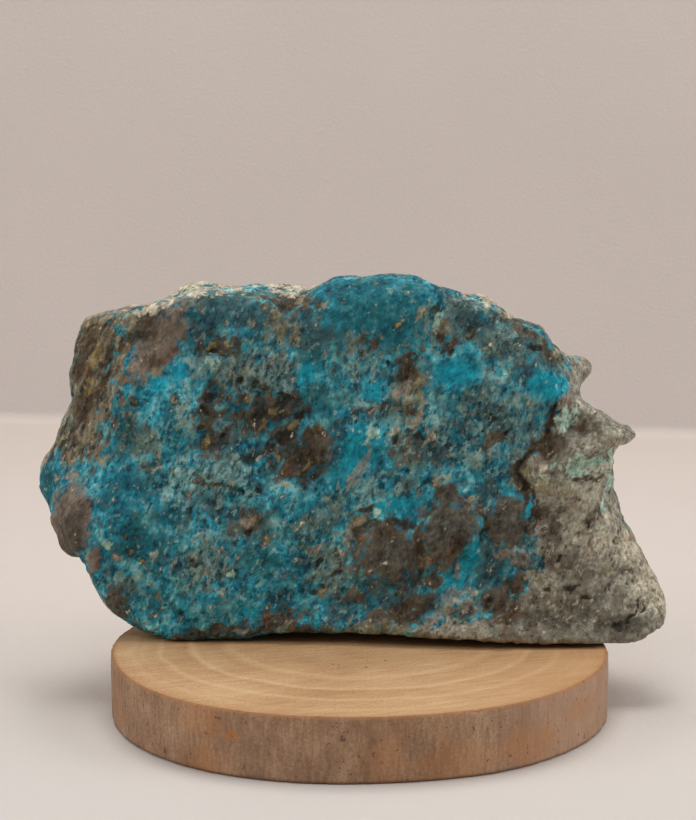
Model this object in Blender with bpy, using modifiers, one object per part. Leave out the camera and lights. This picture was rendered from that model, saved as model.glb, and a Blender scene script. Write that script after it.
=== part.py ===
# A rough turquoise specimen in its grey host rock, standing on a sawn slice of a branch.
# Metres, +Z up. The origin is on the slice's underside, below the middle of the stone's length, and
# the specimen's blue face looks along -Y.

import math

import bmesh
import bpy
import numpy as np
from mathutils import Matrix, Vector, noise

MM = 0.001

# Driving dimensions of the wooden slice
SLICE_WIDTH = 78 * MM
SLICE_DEPTH = 75 * MM
SLICE_THICKNESS = 10 * MM
SLICE_SIDES = 96
SLICE_LEVELS = 5
SLICE_BEVEL = 0.35 * MM
SMOOTH_BELOW = math.radians(40)
BEVEL_ABOVE = math.radians(60)

# The branch isn't quite round: lobes as how many, where they begin and how high, and a finer
# unevenness as its length round the branch, its length up the branch and its height
SLICE_LOBES = ((3, 0.6, 0.35 * MM), (5, -1.6, 0.2 * MM))
SLICE_UNEVEN = (17 * MM, 9 * MM, 0.22 * MM)

# Driving dimensions of the stone, whose foot keeps a small gap to the wood
STONE_DEPTH = 34 * MM
STONE_FRONT = 4 * MM
STONE_LEAN = math.radians(4)
STONE_TRIANGLES = 8300
REST_GAP = 0.3 * MM
FOOT_WEAR = 0.45 * MM
FOOT_WEAR_HEIGHTS = (1, 6)
LEAST_DEPTH = 7 * MM
WELD_DISTANCE = 0.01 * MM
COARSE_VOXEL = 1.1 * MM
FINE_VOXEL = 0.8 * MM
LAST_VOXEL = 0.6 * MM

# How the front's rim and the back's rim are worn round: how far in, and how deep, in millimetres
FRONT_WEAR = (1.5, 1.1)
BACK_WEAR = (7.0, 4.5)
BACK_WEAR_POWER = 1.6

# How much the stone draws in behind its rim, as millimetres for each millimetre of depth, and the
# heights or depths, in millimetres, over which each draw sets in
RIM_BAND = 3.0
TOP_DRAW = 0.42
TOP_HEIGHTS = (18, 56)
TOP_WAVE = (0.25, 9)
SIDE_DRAW = 0.22
SIDE_REACH = 45
FOOT_DRAW = 0.08
FOOT_HEIGHTS = (2, 16)
FOOT_DEPTHS = (12, 30)

# The front's lower edge hangs over the wood. Behind it the foot drops down to what it stands on: how
# far, below which heights and from which depth to which, in millimetres
FOOT_DROP = 2.4
DROP_HEIGHTS = (2.5, 7)
DROP_DEPTHS = (7.5, 10.5)

# The stone's outline seen from the front, in millimetres from the slice's middle and from its top,
# clockwise from the upper left corner
STONE_OUTLINE = [
    (-43.1, 50.4), (-38.4, 51.7), (-32.4, 52.6), (-26.0, 55.3), (-23.0, 55.9), (-19.5, 55.1),
    (-17.5, 56.0), (-14.5, 55.3), (-12.0, 55.8), (-8.0, 54.6), (-4.0, 57.2), (3.0, 57.6),
    (10.1, 57.1), (13.1, 55.5), (16.0, 53.8), (17.0, 54.0), (20.0, 53.9), (23.2, 52.0),
    (26.0, 50.3), (28.8, 49.3), (31.1, 46.5), (32.5, 43.7), (35.2, 43.6), (38.0, 42.2),
    (36.6, 40.4), (33.4, 40.2), (34.4, 38.5), (37.4, 36.1), (41.2, 34.1), (43.4, 34.0),
    (44.6, 32.4), (43.8, 30.7), (41.1, 29.8), (40.1, 26.3), (41.6, 20.9), (42.8, 17.2),
    (46.9, 10.9), (48.7, 6.9), (49.4, 3.5), (47.4, 1.9), (43.4, 0.9), (40.3, 1.0),
    (35.7, 1.15), (29.6, 1.0), (21.9, 1.4), (14.2, 1.6), (6.5, 2.1), (-1.2, 2.2),
    (-8.9, 1.85), (-16.6, 1.2), (-22.7, 1.0), (-29.0, 0.2), (-35.7, 2.1), (-39.3, 3.8),
    (-41.6, 7.2), (-42.4, 11.2), (-43.9, 13.1), (-46.8, 13.7), (-49.0, 18.7), (-51.5, 22.7),
    (-51.0, 26.1), (-47.6, 31.8), (-44.2, 37.2), (-45.6, 41.0), (-44.8, 46.5),
]

# Flat breaks: a point of the line where each begins, the way it falls away (degrees from +X
# towards +Z) and how steeply, all seen from the front, in millimetres
FRONT_BREAKS = {
    "left_side": ((-38.6, 30.0), 172, 0.62),
    "upper_left_corner": ((-39.0, 46.0), 128, 0.35),
    "lower_left_foot": ((-36.0, 8.0), 222, 0.50),
    "upper_right": ((26.0, 46.0), 50, 0.25),
}
BACK_BREAKS = {
    "right": ((22.0, 27.0), 2, 0.60),
    "upper_right": ((17.0, 35.0), 38, 0.68),
    "top": ((5.0, 39.0), 76, 0.62),
    "top_left": ((-10.0, 41.0), 108, 0.55),
    "upper_left": ((-22.0, 38.0), 144, 0.50),
    "left": ((-29.0, 27.0), 178, 0.42),
    "lower_left": ((-25.0, 14.0), 214, 0.40),
    "foot": ((-6.0, 7.0), 258, 0.70),
    "lower_right": ((20.0, 13.0), 318, 0.42),
    "wide_right": ((-4.0, 29.0), 20, 0.16),
    "wide_left": ((-10.0, 25.0), 226, 0.14),
}

# Steps across the back, where a layer of the host rock has come away: a point of the edge, the way
# to the lower side and the height of the step
BACK_STEPS = {
    "upper_layer": ((-4.0, 33.0), 72, 2.4),
    "side_layer": ((14.0, 20.0), 335, 2.0),
    "left_layer": ((-27.0, 24.0), 196, 1.8),
}
STEP_BLEND = 1.6
STEP_WAVES = ((1.6, 3.7), (0.8, 1.6))

# Bevels along parts of the front's rim: x from and to, heights from and to, width and depth
RIM_BEVELS = {
    "pale_ledge": ((-31.0, -6.0), (45.0, 60.0), 1.1, 4.5),
    "right_edge": ((38.0, 52.0), (2.0, 24.0), 3.4, 2.6),
    "blue_crown": ((-5.0, 33.0), (42.0, 60.0), 3.5, 1.2),
}

# Host rock that stands out past the blue rim, set back behind it: middle, half sizes, how far back
RIM_RECESSES = {
    "nub": ((36.4, 42.4), (2.8, 2.8), 1.8),
    "flake": ((19.6, 54.7), (4.2, 1.1), 3.5),
}
RECESS_EDGE = (0.9, 1.15)

# Where the blue layer ends and the host rock begins, as x at each height
SEAM_HEIGHTS = [0.0, 8.0, 13.0, 20.0, 26.0, 34.0, 39.0, 50.0]
SEAM_X = [23.0, 26.0, 28.6, 27.0, 25.5, 31.0, 34.0, 36.0]
SEAM_STEP = 1.5
SEAM_BLEND = 1.3

# Rounded lumps and hollows of the front, as (x, height), radius along each, and how far out, in millimetres
FRONT_SWELLS = {
    "lower_left_lump": ((-43.8, 18.5), (3.6, 6.2), 2.2),
    "upper_left_grey": ((-31.0, 47.5), (5.0, 5.5), -1.3),
    "crown": ((4.0, 51.0), (12.0, 5.5), 1.0),
    "heart_hollow": ((-10.5, 31.0), (4.2, 7.5), -2.1),
    "heart_hollow_upper": ((-18.0, 38.0), (4.5, 3.5), -1.2),
    "bright_band": ((-1.0, 33.5), (4.0, 6.0), 0.9),
    "brown_knob": ((13.0, 17.5), (7.5, 6.0), 1.5),
    "brown_knob_left": ((4.5, 13.0), (6.5, 5.0), 1.0),
    "blue_channel": ((19.0, 13.0), (2.6, 6.5), -1.2),
    "pale_blotch": ((11.0, 34.0), (3.5, 6.5), -0.9),
    "upper_pit": ((14.0, 48.5), (3.4, 5.0), -1.3),
    "blue_cheek": ((-30.0, 24.0), (9.0, 12.0), 0.9),
    "right_cheek": ((22.0, 40.0), (6.0, 6.0), 0.8),
    "shoulder_pit": ((28.0, 33.0), (2.0, 6.0), -0.9),
    "rock_belly": ((34.0, 14.0), (7.0, 9.0), 0.9),
    "foot_swell": ((-22.0, 5.5), (8.0, 3.0), 0.7),
    "right_foot": ((40.0, -2.0), (24.0, 9.0), 4.2),
    "toe": ((16.0, 0.0), (28.0, 4.2), 5.0),
}

# The notch under the spur on the right: its floor slopes back and up from the rock's shoulder
NOTCH_X = (29.5, 40.0)
NOTCH_FLOOR = 26.2
NOTCH_OPENING = 4.2
NOTCH_DEPTH = 7.0
NOTCH_POWER = 0.6
NOTCH_INNER_END = 0.05

# The spur above the notch: a line along its lower edge, from which its upper side leans back, and
# how much calmer the break is on the spur and on the nub above it
SPUR_FROM = (30.5, 27.4)
SPUR_TO = (43.7, 31.0)
SPUR_LEAN = 0.40
SPUR_TALL = 12.0
SPUR_FORWARD = 2.0
SPUR_BLEND = (29.5, 34.5)
CALM = 0.75
CALM_X = (29, 33)
CALM_HEIGHTS = (23, 26)
CALM_DEPTHS = (10, 18)

# Flat chips knocked off whatever stands out at the sides and back, in millimetres, and how far
# forward and down they face at most
CHIP_COUNT = 90
CHIP_LEAST = 1.0
CHIP_MOST = 4.2
CHIP_FORWARD = 0.1
CHIP_DOWN = -0.6
CHIP_BLEND = 4.0

# The break of the host rock and of the flatter front: sizes and heights of the flat facets in it
ROCK_FACETS = ((15 * MM, 4.2 * MM), (6.0 * MM, 1.2 * MM))
FRONT_FACETS = ((12 * MM, 0.9 * MM), (4.5 * MM, 0.5 * MM))
FACET_TILT = 2.0
TILT_SPREAD = 7.31
FACET_LEVEL = 0.5
LEVEL_SPREAD = 5.17
FACET_STEEP = 1.4
FACET_FLOOR = -0.3
FACET_SINK = 0.3
BEDDING = Matrix.Diagonal((0.7, 1.1, 1.25)) @ Matrix.Rotation(math.radians(24), 3, "Y")
WARP = (9 * MM, 0.7 * MM)
GRAIN = (4 * MM, 0.22 * MM)

# Faces that look this much forward are the front. The break grows from the rim inwards, and at the
# sides over twice that way from RIM_BACK millimetres behind the rim.
FRONT_FACING = (0.35, 0.7)
RIM_ROUGHNESS = 0.12
RIM_CALM = 4.0
RIM_BACK = 4.0

STONE_BLUE = (0.045, 0.27, 0.33, 1)
STONE_ROUGHNESS = 0.6
WOOD_PALE = (0.60, 0.40, 0.22, 1)
WOOD_ROUGHNESS = 0.7


def clear_scene():
    for obj in list(bpy.data.objects):
        bpy.data.objects.remove(obj, do_unlink=True)


def new_collection(name):
    collection = bpy.data.collections.new(name)
    bpy.context.scene.collection.children.link(collection)
    return collection


def new_material(name, colour, roughness):
    material = bpy.data.materials.new(name)
    material.use_nodes = True
    shader = material.node_tree.nodes["Principled BSDF"]
    shader.inputs["Base Color"].default_value = colour
    shader.inputs["Roughness"].default_value = roughness
    shader.inputs["Metallic"].default_value = 0.0
    return material


def evaluated_copy(obj, name, collection):
    """A mesh object with the evaluated shape of obj, which is then removed."""
    graph = bpy.context.evaluated_depsgraph_get()
    mesh = bpy.data.meshes.new_from_object(obj.evaluated_get(graph))
    copy = bpy.data.objects.new(name, mesh)
    copy.matrix_world = obj.matrix_world
    collection.objects.link(copy)
    bpy.data.objects.remove(obj, do_unlink=True)
    return copy


def weld(mesh, distance):
    shape = bmesh.new()
    shape.from_mesh(mesh)
    bmesh.ops.remove_doubles(shape, verts=shape.verts, dist=distance)
    bmesh.ops.recalc_face_normals(shape, faces=shape.faces)
    shape.to_mesh(mesh)
    shape.free()


def remeshed(obj, voxel, name, collection):
    remesh = obj.modifiers.new("even_faces", "REMESH")
    remesh.mode = "VOXEL"
    remesh.voxel_size = voxel
    bpy.context.view_layer.update()
    return evaluated_copy(obj, name, collection)


def read_points(mesh):
    points = np.empty(len(mesh.vertices) * 3, np.float32)
    mesh.vertices.foreach_get("co", points)
    return points.reshape(-1, 3).astype(float)


def write_points(mesh, points):
    mesh.vertices.foreach_set("co", points.astype(np.float32).ravel())
    mesh.update()


def read_normals(mesh):
    normals = np.empty(len(mesh.vertices) * 3, np.float32)
    mesh.vertex_normals.foreach_get("vector", normals)
    return normals.reshape(-1, 3).astype(float)


def smoothstep(low, high, value):
    share = np.clip((value - low) / (high - low), 0, 1)
    return share * share * (3 - 2 * share)


def rim_distance(x, z):
    """How far each point is from the stone's outline, in millimetres."""
    corners = np.array(STONE_OUTLINE)
    nearest = np.full(len(x), 1e9)
    for start, end in zip(corners, np.roll(corners, -1, axis=0)):
        edge = end - start
        share = ((x - start[0]) * edge[0] + (z - start[1]) * edge[1]) / (edge @ edge)
        share = np.clip(share, 0, 1)
        gap = np.hypot(x - start[0] - share * edge[0], z - start[1] - share * edge[1])
        nearest = np.minimum(nearest, gap)
    return nearest


def fall_away(x, z, breaks):
    """The depth in millimetres that each of a set of flat breaks takes off a face, one row for each."""
    rows = []
    for (from_x, from_z), heading, slope in breaks.values():
        way = math.radians(heading)
        past = (x - from_x) * math.cos(way) + (z - from_z) * math.sin(way)
        rows.append(slope * np.maximum(past, 0))
    return np.array(rows)


def within(value, low, high, blend=1.0):
    """1 from low to high, falling to 0 over the blend on each side."""
    return smoothstep(low - blend, low + blend, value) * (1 - smoothstep(high - blend, high + blend, value))


def swells(x, z):
    """Rounded lumps and hollows, positive where they stand out, in millimetres."""
    height = np.zeros(len(x))
    for (at_x, at_z), (wide, tall), out in FRONT_SWELLS.values():
        share = ((x - at_x) / wide) ** 2 + ((z - at_z) / tall) ** 2
        height += out * np.exp(-share)
    return height


def notch(x, z):
    """The depth in millimetres of the notch, from its front lip back to the underside of the spur."""
    along = np.maximum((x - NOTCH_X[0]) / (NOTCH_X[1] - NOTCH_X[0]), 0)
    up_floor = (z - NOTCH_FLOOR) / (NOTCH_OPENING * np.maximum(along, NOTCH_INNER_END))
    inside = (up_floor > 0) & (up_floor < 1)
    return NOTCH_DEPTH * along**NOTCH_POWER * np.where(inside, up_floor, 0)


def spur(x, z):
    """How far the spur's front stands back, in millimetres: it leans back above its lower edge."""
    slope = (SPUR_TO[1] - SPUR_FROM[1]) / (SPUR_TO[0] - SPUR_FROM[0])
    above = z - SPUR_FROM[1] - slope * (x - SPUR_FROM[0])
    lean = SPUR_LEAN * np.clip(above, 0, SPUR_TALL) - SPUR_FORWARD * (above > 0) * (above < SPUR_TALL)
    return lean * smoothstep(*SPUR_BLEND, x)


def front_depth(x, z, rim):
    """Y of the stone's front at each point (x, z in millimetres), in metres."""
    depth = fall_away(x, z, FRONT_BREAKS).sum(axis=0)
    depth -= swells(x, z)
    seam = np.interp(z, SEAM_HEIGHTS, SEAM_X)
    depth += SEAM_STEP * smoothstep(-SEAM_BLEND / 2, SEAM_BLEND / 2, x - seam)
    depth += notch(x, z) + spur(x, z)
    for (from_x, to_x), (from_z, to_z), width, deep in RIM_BEVELS.values():
        where = within(x, from_x, to_x) * within(z, from_z, to_z)
        depth += deep * where * np.clip(1 - rim / width, 0, 1)
    for (at_x, at_z), (half_x, half_z), deep in RIM_RECESSES.values():
        out = np.hypot((x - at_x) / half_x, (z - at_z) / half_z)
        depth += deep * (1 - smoothstep(*RECESS_EDGE, out))
    wide, deep = FRONT_WEAR
    depth += deep * (1 - np.sqrt(1 - np.clip(1 - rim / wide, 0, 1) ** 2))
    return STONE_FRONT + (depth + z * math.tan(STONE_LEAN)) * MM


def back_depth(x, z, rim):
    """Y of the stone's back at each point, in metres."""
    depth = fall_away(x, z, BACK_BREAKS).max(axis=0)
    for (from_x, from_z), heading, height in BACK_STEPS.values():
        way = math.radians(heading)
        past = (x - from_x) * math.cos(way) + (z - from_z) * math.sin(way)
        along = (z - from_z) * math.cos(way) - (x - from_x) * math.sin(way)
        ragged = past + sum(high * np.sin(along / long) for high, long in STEP_WAVES)
        depth += height * smoothstep(0, STEP_BLEND, ragged)
    wide, deep = BACK_WEAR
    depth += deep * np.clip(1 - rim / wide, 0, 1) ** BACK_WEAR_POWER
    return STONE_FRONT + STONE_DEPTH - depth * MM


def spiral(count):
    """Unit directions spread evenly all round, each with a share from 0 to 1 that varies along them."""
    golden = (math.sqrt(5) - 1) / 2
    for index in range(count):
        up = 1 - 2 * (index + 0.5) / count
        flat = math.sqrt(1 - up * up)
        share = (index * golden) % 1
        turn = 2 * math.pi * share
        yield np.array([flat * math.cos(turn), flat * math.sin(turn), up]), (index * math.sqrt(2)) % 1


def knock_off_chips(points, strength):
    """Flattens what stands out furthest in many directions, as strongly as each point allows."""
    middle = (points.min(axis=0) + points.max(axis=0)) / 2
    for way, share in spiral(CHIP_COUNT):
        if way[1] < CHIP_FORWARD or way[2] < CHIP_DOWN:
            continue
        chip = CHIP_LEAST + (CHIP_MOST - CHIP_LEAST) * share
        reach = (points - middle) @ way
        over = np.maximum(reach - reach.max() + chip * MM, 0)
        points -= (over * strength)[:, None] * way


def facets(point, size, height):
    """The height of a break at a point: flat facets, each tilted its own way, that meet in ridges."""
    gaps, centres = noise.voronoi(point / size)
    heights = []
    for gap, centre in zip(gaps, centres):
        tilt = (noise.cell_vector(centre * TILT_SPREAD) - Vector((0.5, 0.5, 0.5))) * FACET_TILT
        level = noise.cell(centre * LEVEL_SPREAD) * FACET_LEVEL
        apart = gap * gap - gaps[0] * gaps[0]
        heights.append((point / size - centre).dot(tilt) + level - FACET_STEEP * apart)
    return (max(*heights, FACET_FLOOR) - FACET_SINK) * height


def broken(point, front):
    """How far the break lifts a point of the stone, in metres. The front is flatter than the rest."""
    long, high = GRAIN
    lift = noise.noise(point / long) * high
    long, aside = WARP
    point += noise.noise_vector(point / long) * aside
    if front < 1:
        lift += sum(facets(BEDDING @ point, *facet) for facet in ROCK_FACETS) * (1 - front)
    if front > 0:
        lift += sum(facets(point, *facet) for facet in FRONT_FACETS) * front
    return lift


def stone_slab(collection):
    """The outline as a flat slab, whose front and back are shaped afterwards."""
    curve = bpy.data.curves.new("stone_outline", "CURVE")
    curve.dimensions = "2D"
    curve.fill_mode = "BOTH"
    curve.extrude = STONE_DEPTH / 2
    spline = curve.splines.new("POLY")
    spline.points.add(len(STONE_OUTLINE) - 1)
    for point, (x, z) in zip(spline.points, STONE_OUTLINE):
        point.co = (x * MM, z * MM, 0, 1)
    spline.use_cyclic_u = True
    outline = bpy.data.objects.new("stone_outline", curve)
    outline.matrix_world = Matrix.Rotation(math.radians(90), 4, "X")
    collection.objects.link(outline)
    bpy.context.view_layer.update()
    slab = evaluated_copy(outline, "stone_slab", collection)
    slab.data.transform(slab.matrix_world)
    slab.matrix_world = Matrix.Identity(4)
    weld(slab.data, WELD_DISTANCE)
    return remeshed(slab, COARSE_VOXEL, "stone_blank", collection)


def shape_stone(blank):
    """Gives the slab its front and its back, and draws its top, sides and foot in behind the rim."""
    points = read_points(blank.data)
    share = np.clip(points[:, 1] / STONE_DEPTH + 0.5, 0, 1)
    x, z = points[:, 0] / MM, points[:, 2] / MM
    rim = rim_distance(x, z)
    front, back = front_depth(x, z, rim), back_depth(x, z, rim)
    back = np.maximum(back, front + LEAST_DEPTH)
    points[:, 1] = front + share * (back - front)
    behind = np.maximum((points[:, 1] - front) / MM - RIM_BAND, 0)
    wave, wave_length = TOP_WAVE
    at_top = smoothstep(*TOP_HEIGHTS, z) * (1 + wave * np.sin(x / wave_length))
    at_foot = (1 - smoothstep(*FOOT_HEIGHTS, z)) * smoothstep(*FOOT_DEPTHS, behind)
    points[:, 0] -= behind * SIDE_DRAW * np.clip(x / SIDE_REACH, -1, 1) * MM
    points[:, 2] += behind * (FOOT_DRAW * at_foot - TOP_DRAW * at_top) * MM
    inside = (points[:, 1] - front) / MM
    points[:, 2] -= FOOT_DROP * (1 - smoothstep(*DROP_HEIGHTS, z)) * smoothstep(*DROP_DEPTHS, inside) * MM
    knock_off_chips(points, smoothstep(0, CHIP_BLEND, behind))
    write_points(blank.data, points)


def roughen(stone):
    """Breaks up the surface. The front's rim, the spur and the nub keep nearer to their drawn shape."""
    points, normals = read_points(stone.data), read_normals(stone.data)
    front = smoothstep(*FRONT_FACING, -normals[:, 1])
    x, z = points[:, 0] / MM, points[:, 2] / MM
    rim = rim_distance(x, z)
    behind = (points[:, 1] - front_depth(x, z, rim)) / MM
    inward = smoothstep(0, RIM_CALM, np.maximum(rim, (behind - RIM_BACK) / 2))
    at_spur = smoothstep(*CALM_X, x) * smoothstep(*CALM_HEIGHTS, z) * (1 - smoothstep(*CALM_DEPTHS, behind))
    strength = (RIM_ROUGHNESS + (1 - RIM_ROUGHNESS) * inward) * (1 - CALM * at_spur)
    moves = [broken(Vector(point), share) for point, share in zip(points, front)]
    points += normals * (np.array(moves) * strength)[:, None]
    write_points(stone.data, points)


def drop_crumbs(mesh):
    """Keeps only the largest connected piece of a mesh."""
    shape = bmesh.new()
    shape.from_mesh(mesh)
    seen = set()
    pieces = []
    for start in shape.verts:
        if start in seen:
            continue
        seen.add(start)
        piece = [start]
        for vertex in piece:
            neighbours = [edge.other_vert(vertex) for edge in vertex.link_edges]
            new = [other for other in neighbours if other not in seen]
            seen.update(new)
            piece.extend(new)
        pieces.append(piece)
    pieces.sort(key=len)
    crumbs = [vertex for piece in pieces[:-1] for vertex in piece]
    bmesh.ops.delete(shape, geom=crumbs, context="VERTS")
    shape.to_mesh(mesh)
    shape.free()


def stand(stone):
    """Stands the stone on its lowest points, worn flat, a small gap above the slice."""
    points = read_points(stone.data)
    points[:, 2] -= FOOT_WEAR * (1 - smoothstep(*FOOT_WEAR_HEIGHTS, points[:, 2] / MM))
    points[:, 2] = np.maximum(points[:, 2], REST_GAP) + SLICE_THICKNESS
    write_points(stone.data, points)


def make_stone(collection):
    blank = stone_slab(collection)
    shape_stone(blank)
    rough = remeshed(blank, FINE_VOXEL, "stone_rough", collection)
    roughen(rough)
    stone = remeshed(rough, LAST_VOXEL, "turquoise_stone", collection)
    drop_crumbs(stone.data)
    stand(stone)
    faces = sum(len(face.vertices) - 2 for face in stone.data.polygons)
    fewer = stone.modifiers.new("fewer_faces", "DECIMATE")
    fewer.ratio = STONE_TRIANGLES / faces
    fewer.use_collapse_triangulate = True
    stone.data.materials.clear()
    stone.data.materials.append(new_material("turquoise_in_rock", STONE_BLUE, STONE_ROUGHNESS))


def slice_radius(angle, height):
    """The branch's radius at an angle and a height: an oval with slow lobes and a finer unevenness."""
    radius = 1 / math.hypot(math.cos(angle) / (SLICE_WIDTH / 2), math.sin(angle) / (SLICE_DEPTH / 2))
    round_long, up_long, high = SLICE_UNEVEN
    around = Vector((math.cos(angle), math.sin(angle), 0)) * radius / round_long
    around.z = height / up_long
    radius += high * noise.noise(around)
    return radius + sum(high * math.cos(count * angle + begin) for count, begin, high in SLICE_LOBES)


def make_slice(collection):
    shape = bmesh.new()
    bmesh.ops.create_cone(
        shape,
        cap_ends=True,
        segments=SLICE_SIDES,
        radius1=SLICE_WIDTH / 2,
        radius2=SLICE_WIDTH / 2,
        depth=SLICE_THICKNESS,
    )
    bmesh.ops.translate(shape, vec=(0, 0, SLICE_THICKNESS / 2), verts=shape.verts)
    for level in range(1, SLICE_LEVELS):
        everything = shape.verts[:] + shape.edges[:] + shape.faces[:]
        height = SLICE_THICKNESS * level / SLICE_LEVELS
        bmesh.ops.bisect_plane(shape, geom=everything, plane_co=(0, 0, height), plane_no=(0, 0, 1))
    for vertex in shape.verts:
        angle = math.atan2(vertex.co.y, vertex.co.x)
        radius = slice_radius(angle, vertex.co.z)
        vertex.co.x = radius * math.cos(angle)
        vertex.co.y = radius * math.sin(angle) + (SLICE_WIDTH - SLICE_DEPTH) / 2
    mesh = bpy.data.meshes.new("wood_slice")
    shape.to_mesh(mesh)
    shape.free()
    mesh.shade_smooth()
    mesh.set_sharp_from_angle(angle=SMOOTH_BELOW)
    wood = bpy.data.objects.new("wood_slice", mesh)
    collection.objects.link(wood)
    bevel = wood.modifiers.new("sawn_edge", "BEVEL")
    bevel.width = SLICE_BEVEL
    bevel.segments = 1
    bevel.limit_method = "ANGLE"
    bevel.angle_limit = BEVEL_ABOVE
    mesh.materials.append(new_material("pale_wood", WOOD_PALE, WOOD_ROUGHNESS))


def main():
    clear_scene()
    collection = new_collection("turquoise_specimen")
    make_slice(collection)
    make_stone(collection)


main()
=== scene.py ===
import math

import bmesh
import bpy
import numpy as np
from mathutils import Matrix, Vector, noise
from mathutils.bvhtree import BVHTree


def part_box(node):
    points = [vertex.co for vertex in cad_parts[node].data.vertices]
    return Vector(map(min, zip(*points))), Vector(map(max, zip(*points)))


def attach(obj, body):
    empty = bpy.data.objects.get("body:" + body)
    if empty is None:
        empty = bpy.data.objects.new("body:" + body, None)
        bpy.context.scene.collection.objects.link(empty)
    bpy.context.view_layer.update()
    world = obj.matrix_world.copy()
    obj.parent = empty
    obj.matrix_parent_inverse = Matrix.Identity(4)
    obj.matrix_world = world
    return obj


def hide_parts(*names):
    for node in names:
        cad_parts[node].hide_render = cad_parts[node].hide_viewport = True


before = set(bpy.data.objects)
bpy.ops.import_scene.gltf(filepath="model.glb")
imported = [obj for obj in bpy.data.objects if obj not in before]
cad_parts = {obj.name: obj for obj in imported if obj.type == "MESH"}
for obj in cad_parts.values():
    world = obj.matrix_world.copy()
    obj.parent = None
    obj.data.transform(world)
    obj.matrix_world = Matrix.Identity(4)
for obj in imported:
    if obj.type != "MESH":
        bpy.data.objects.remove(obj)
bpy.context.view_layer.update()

mm = 0.001
root = "root"
print("frame loaded:", sorted(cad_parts))


def paint(red, green, blue, lift):
    # a colour as it is seen on screen, turned into the linear one that shaders take
    linear = []
    for part in (red, green, blue):
        part = part / 255
        part = part / 12.92 if part <= 0.04045 else ((part + 0.055) / 1.055) ** 2.4
        linear.append(min(part * lift, 0.95))
    return (*linear, 1.0)


class Graph:
    # a shader node tree with short ways to add to it
    def __init__(self, tree, lift=1.0):
        self.tree = tree
        self.lift = lift  # brightens every colour that is given as it is seen on screen
        self.place = None  # the point being shaded, in millimetres

    def link(self, source, target):
        self.tree.links.new(source, target)

    def fill(self, made, inputs):
        for name, value in inputs.items():
            if isinstance(value, bpy.types.NodeSocket):
                self.link(value, made.inputs[name])
            else:
                made.inputs[name].default_value = value
        return made

    def add(self, kind, inputs=None, **settings):
        made = self.tree.nodes.new("ShaderNode" + kind)
        for name, value in settings.items():
            setattr(made, name, value)
        return self.fill(made, inputs or {})

    def calc(self, operation, *values, clamp=False):
        return self.add("Math", dict(enumerate(values)), operation=operation, use_clamp=clamp).outputs[0]

    def times(self, first, second):
        return self.calc("MULTIPLY", first, second)

    def scaled(self, value, factor, offset, clamp=False):
        return self.calc("MULTIPLY_ADD", value, factor, offset, clamp=clamp)

    def weigh(self, *pairs):
        # the sum of some values, each with its weight
        (value, weight), *others = pairs
        total = self.times(value, weight)
        for value, weight in others:
            total = self.scaled(value, weight, total)
        return total

    def most(self, first, *others):
        for value in others:
            first = self.calc("MAXIMUM", first, value)
        return first

    def vector(self, operation, first, second):
        made = self.add("VectorMath", operation=operation)
        self.fill(made, {0: first, "Scale" if operation == "SCALE" else 1: second})
        return made.outputs["Value" if operation in ("DISTANCE", "DOT_PRODUCT") else "Vector"]

    def tint(self, colour):
        # three numbers are a colour as it is seen on screen, and anything else stays as it is
        seen = isinstance(colour, tuple) and len(colour) == 3
        return paint(*colour, self.lift) if seen else colour

    def mix(self, factor, first, second, blend="MIX"):
        # sockets 0, 6 and 7 of the Mix node are its factor and its two colours
        inputs = {0: factor, 6: self.tint(first), 7: self.tint(second)}
        return self.add("Mix", inputs, data_type="RGBA", blend_type=blend).outputs[2]

    def mixValues(self, factor, first, second):
        return self.add("Mix", {0: factor, 2: first, 3: second}, data_type="FLOAT").outputs[0]

    def shade(self, colour, amount):
        grey = self.add("CombineXYZ", {0: amount, 1: amount, 2: amount}).outputs[0]
        return self.mix(1.0, colour, grey, "MULTIPLY")

    def fade(self, value, start, end, low=0.0, high=1.0, kind="SMOOTHSTEP"):
        inputs = {"Value": value, "From Min": start, "From Max": end, "To Min": low, "To Max": high}
        return self.add("MapRange", inputs, interpolation_type=kind).outputs["Result"]

    def ramp(self, value, stops):
        made = self.add("ValToRGB", {"Fac": value})
        elements = made.color_ramp.elements
        while len(elements) < len(stops):
            elements.new(0.5)
        for element, (position, colour) in zip(elements, stops):
            element.position = position
            element.color = self.tint(colour)
        return made.outputs["Color"]

    def use(self, group, **inputs):
        made = self.tree.nodes.new("ShaderNodeGroup")
        made.node_tree = group
        return self.fill(made, inputs).outputs[0]

    def texture(self, group, **inputs):
        return self.use(group, **{"Vector": self.place, **inputs})

    def read(self, name):
        return self.add("Attribute", attribute_name=name).outputs["Fac"]

    def axes(self):
        return self.add("SeparateXYZ", {0: self.place}).outputs

    def bump(self, shader, height, strength, distance):
        made = self.add("Bump", {"Height": height, "Strength": strength, "Distance": distance})
        self.link(made.outputs["Normal"], shader.inputs["Normal"])


def newMaterial(name, lift=1.0):
    material = bpy.data.materials.new(name)
    material.use_nodes = True
    graph = Graph(material.node_tree, lift)
    graph.place = graph.vector("SCALE", graph.add("TexCoord").outputs["Object"], 1 / mm)
    return material, graph, material.node_tree.nodes["Principled BSDF"]


def startGroup(name, inputs, output):
    group = bpy.data.node_groups.new(name, "ShaderNodeTree")
    for label, value in inputs.items():
        kind = "NodeSocketVector" if isinstance(value, tuple) else "NodeSocketFloat"
        group.interface.new_socket(label, in_out="INPUT", socket_type=kind).default_value = value
    group.interface.new_socket(output, in_out="OUTPUT", socket_type="NodeSocketFloat")
    given = group.nodes.new("NodeGroupInput").outputs
    return Graph(group), given, group.nodes.new("NodeGroupOutput").inputs[0]


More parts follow.
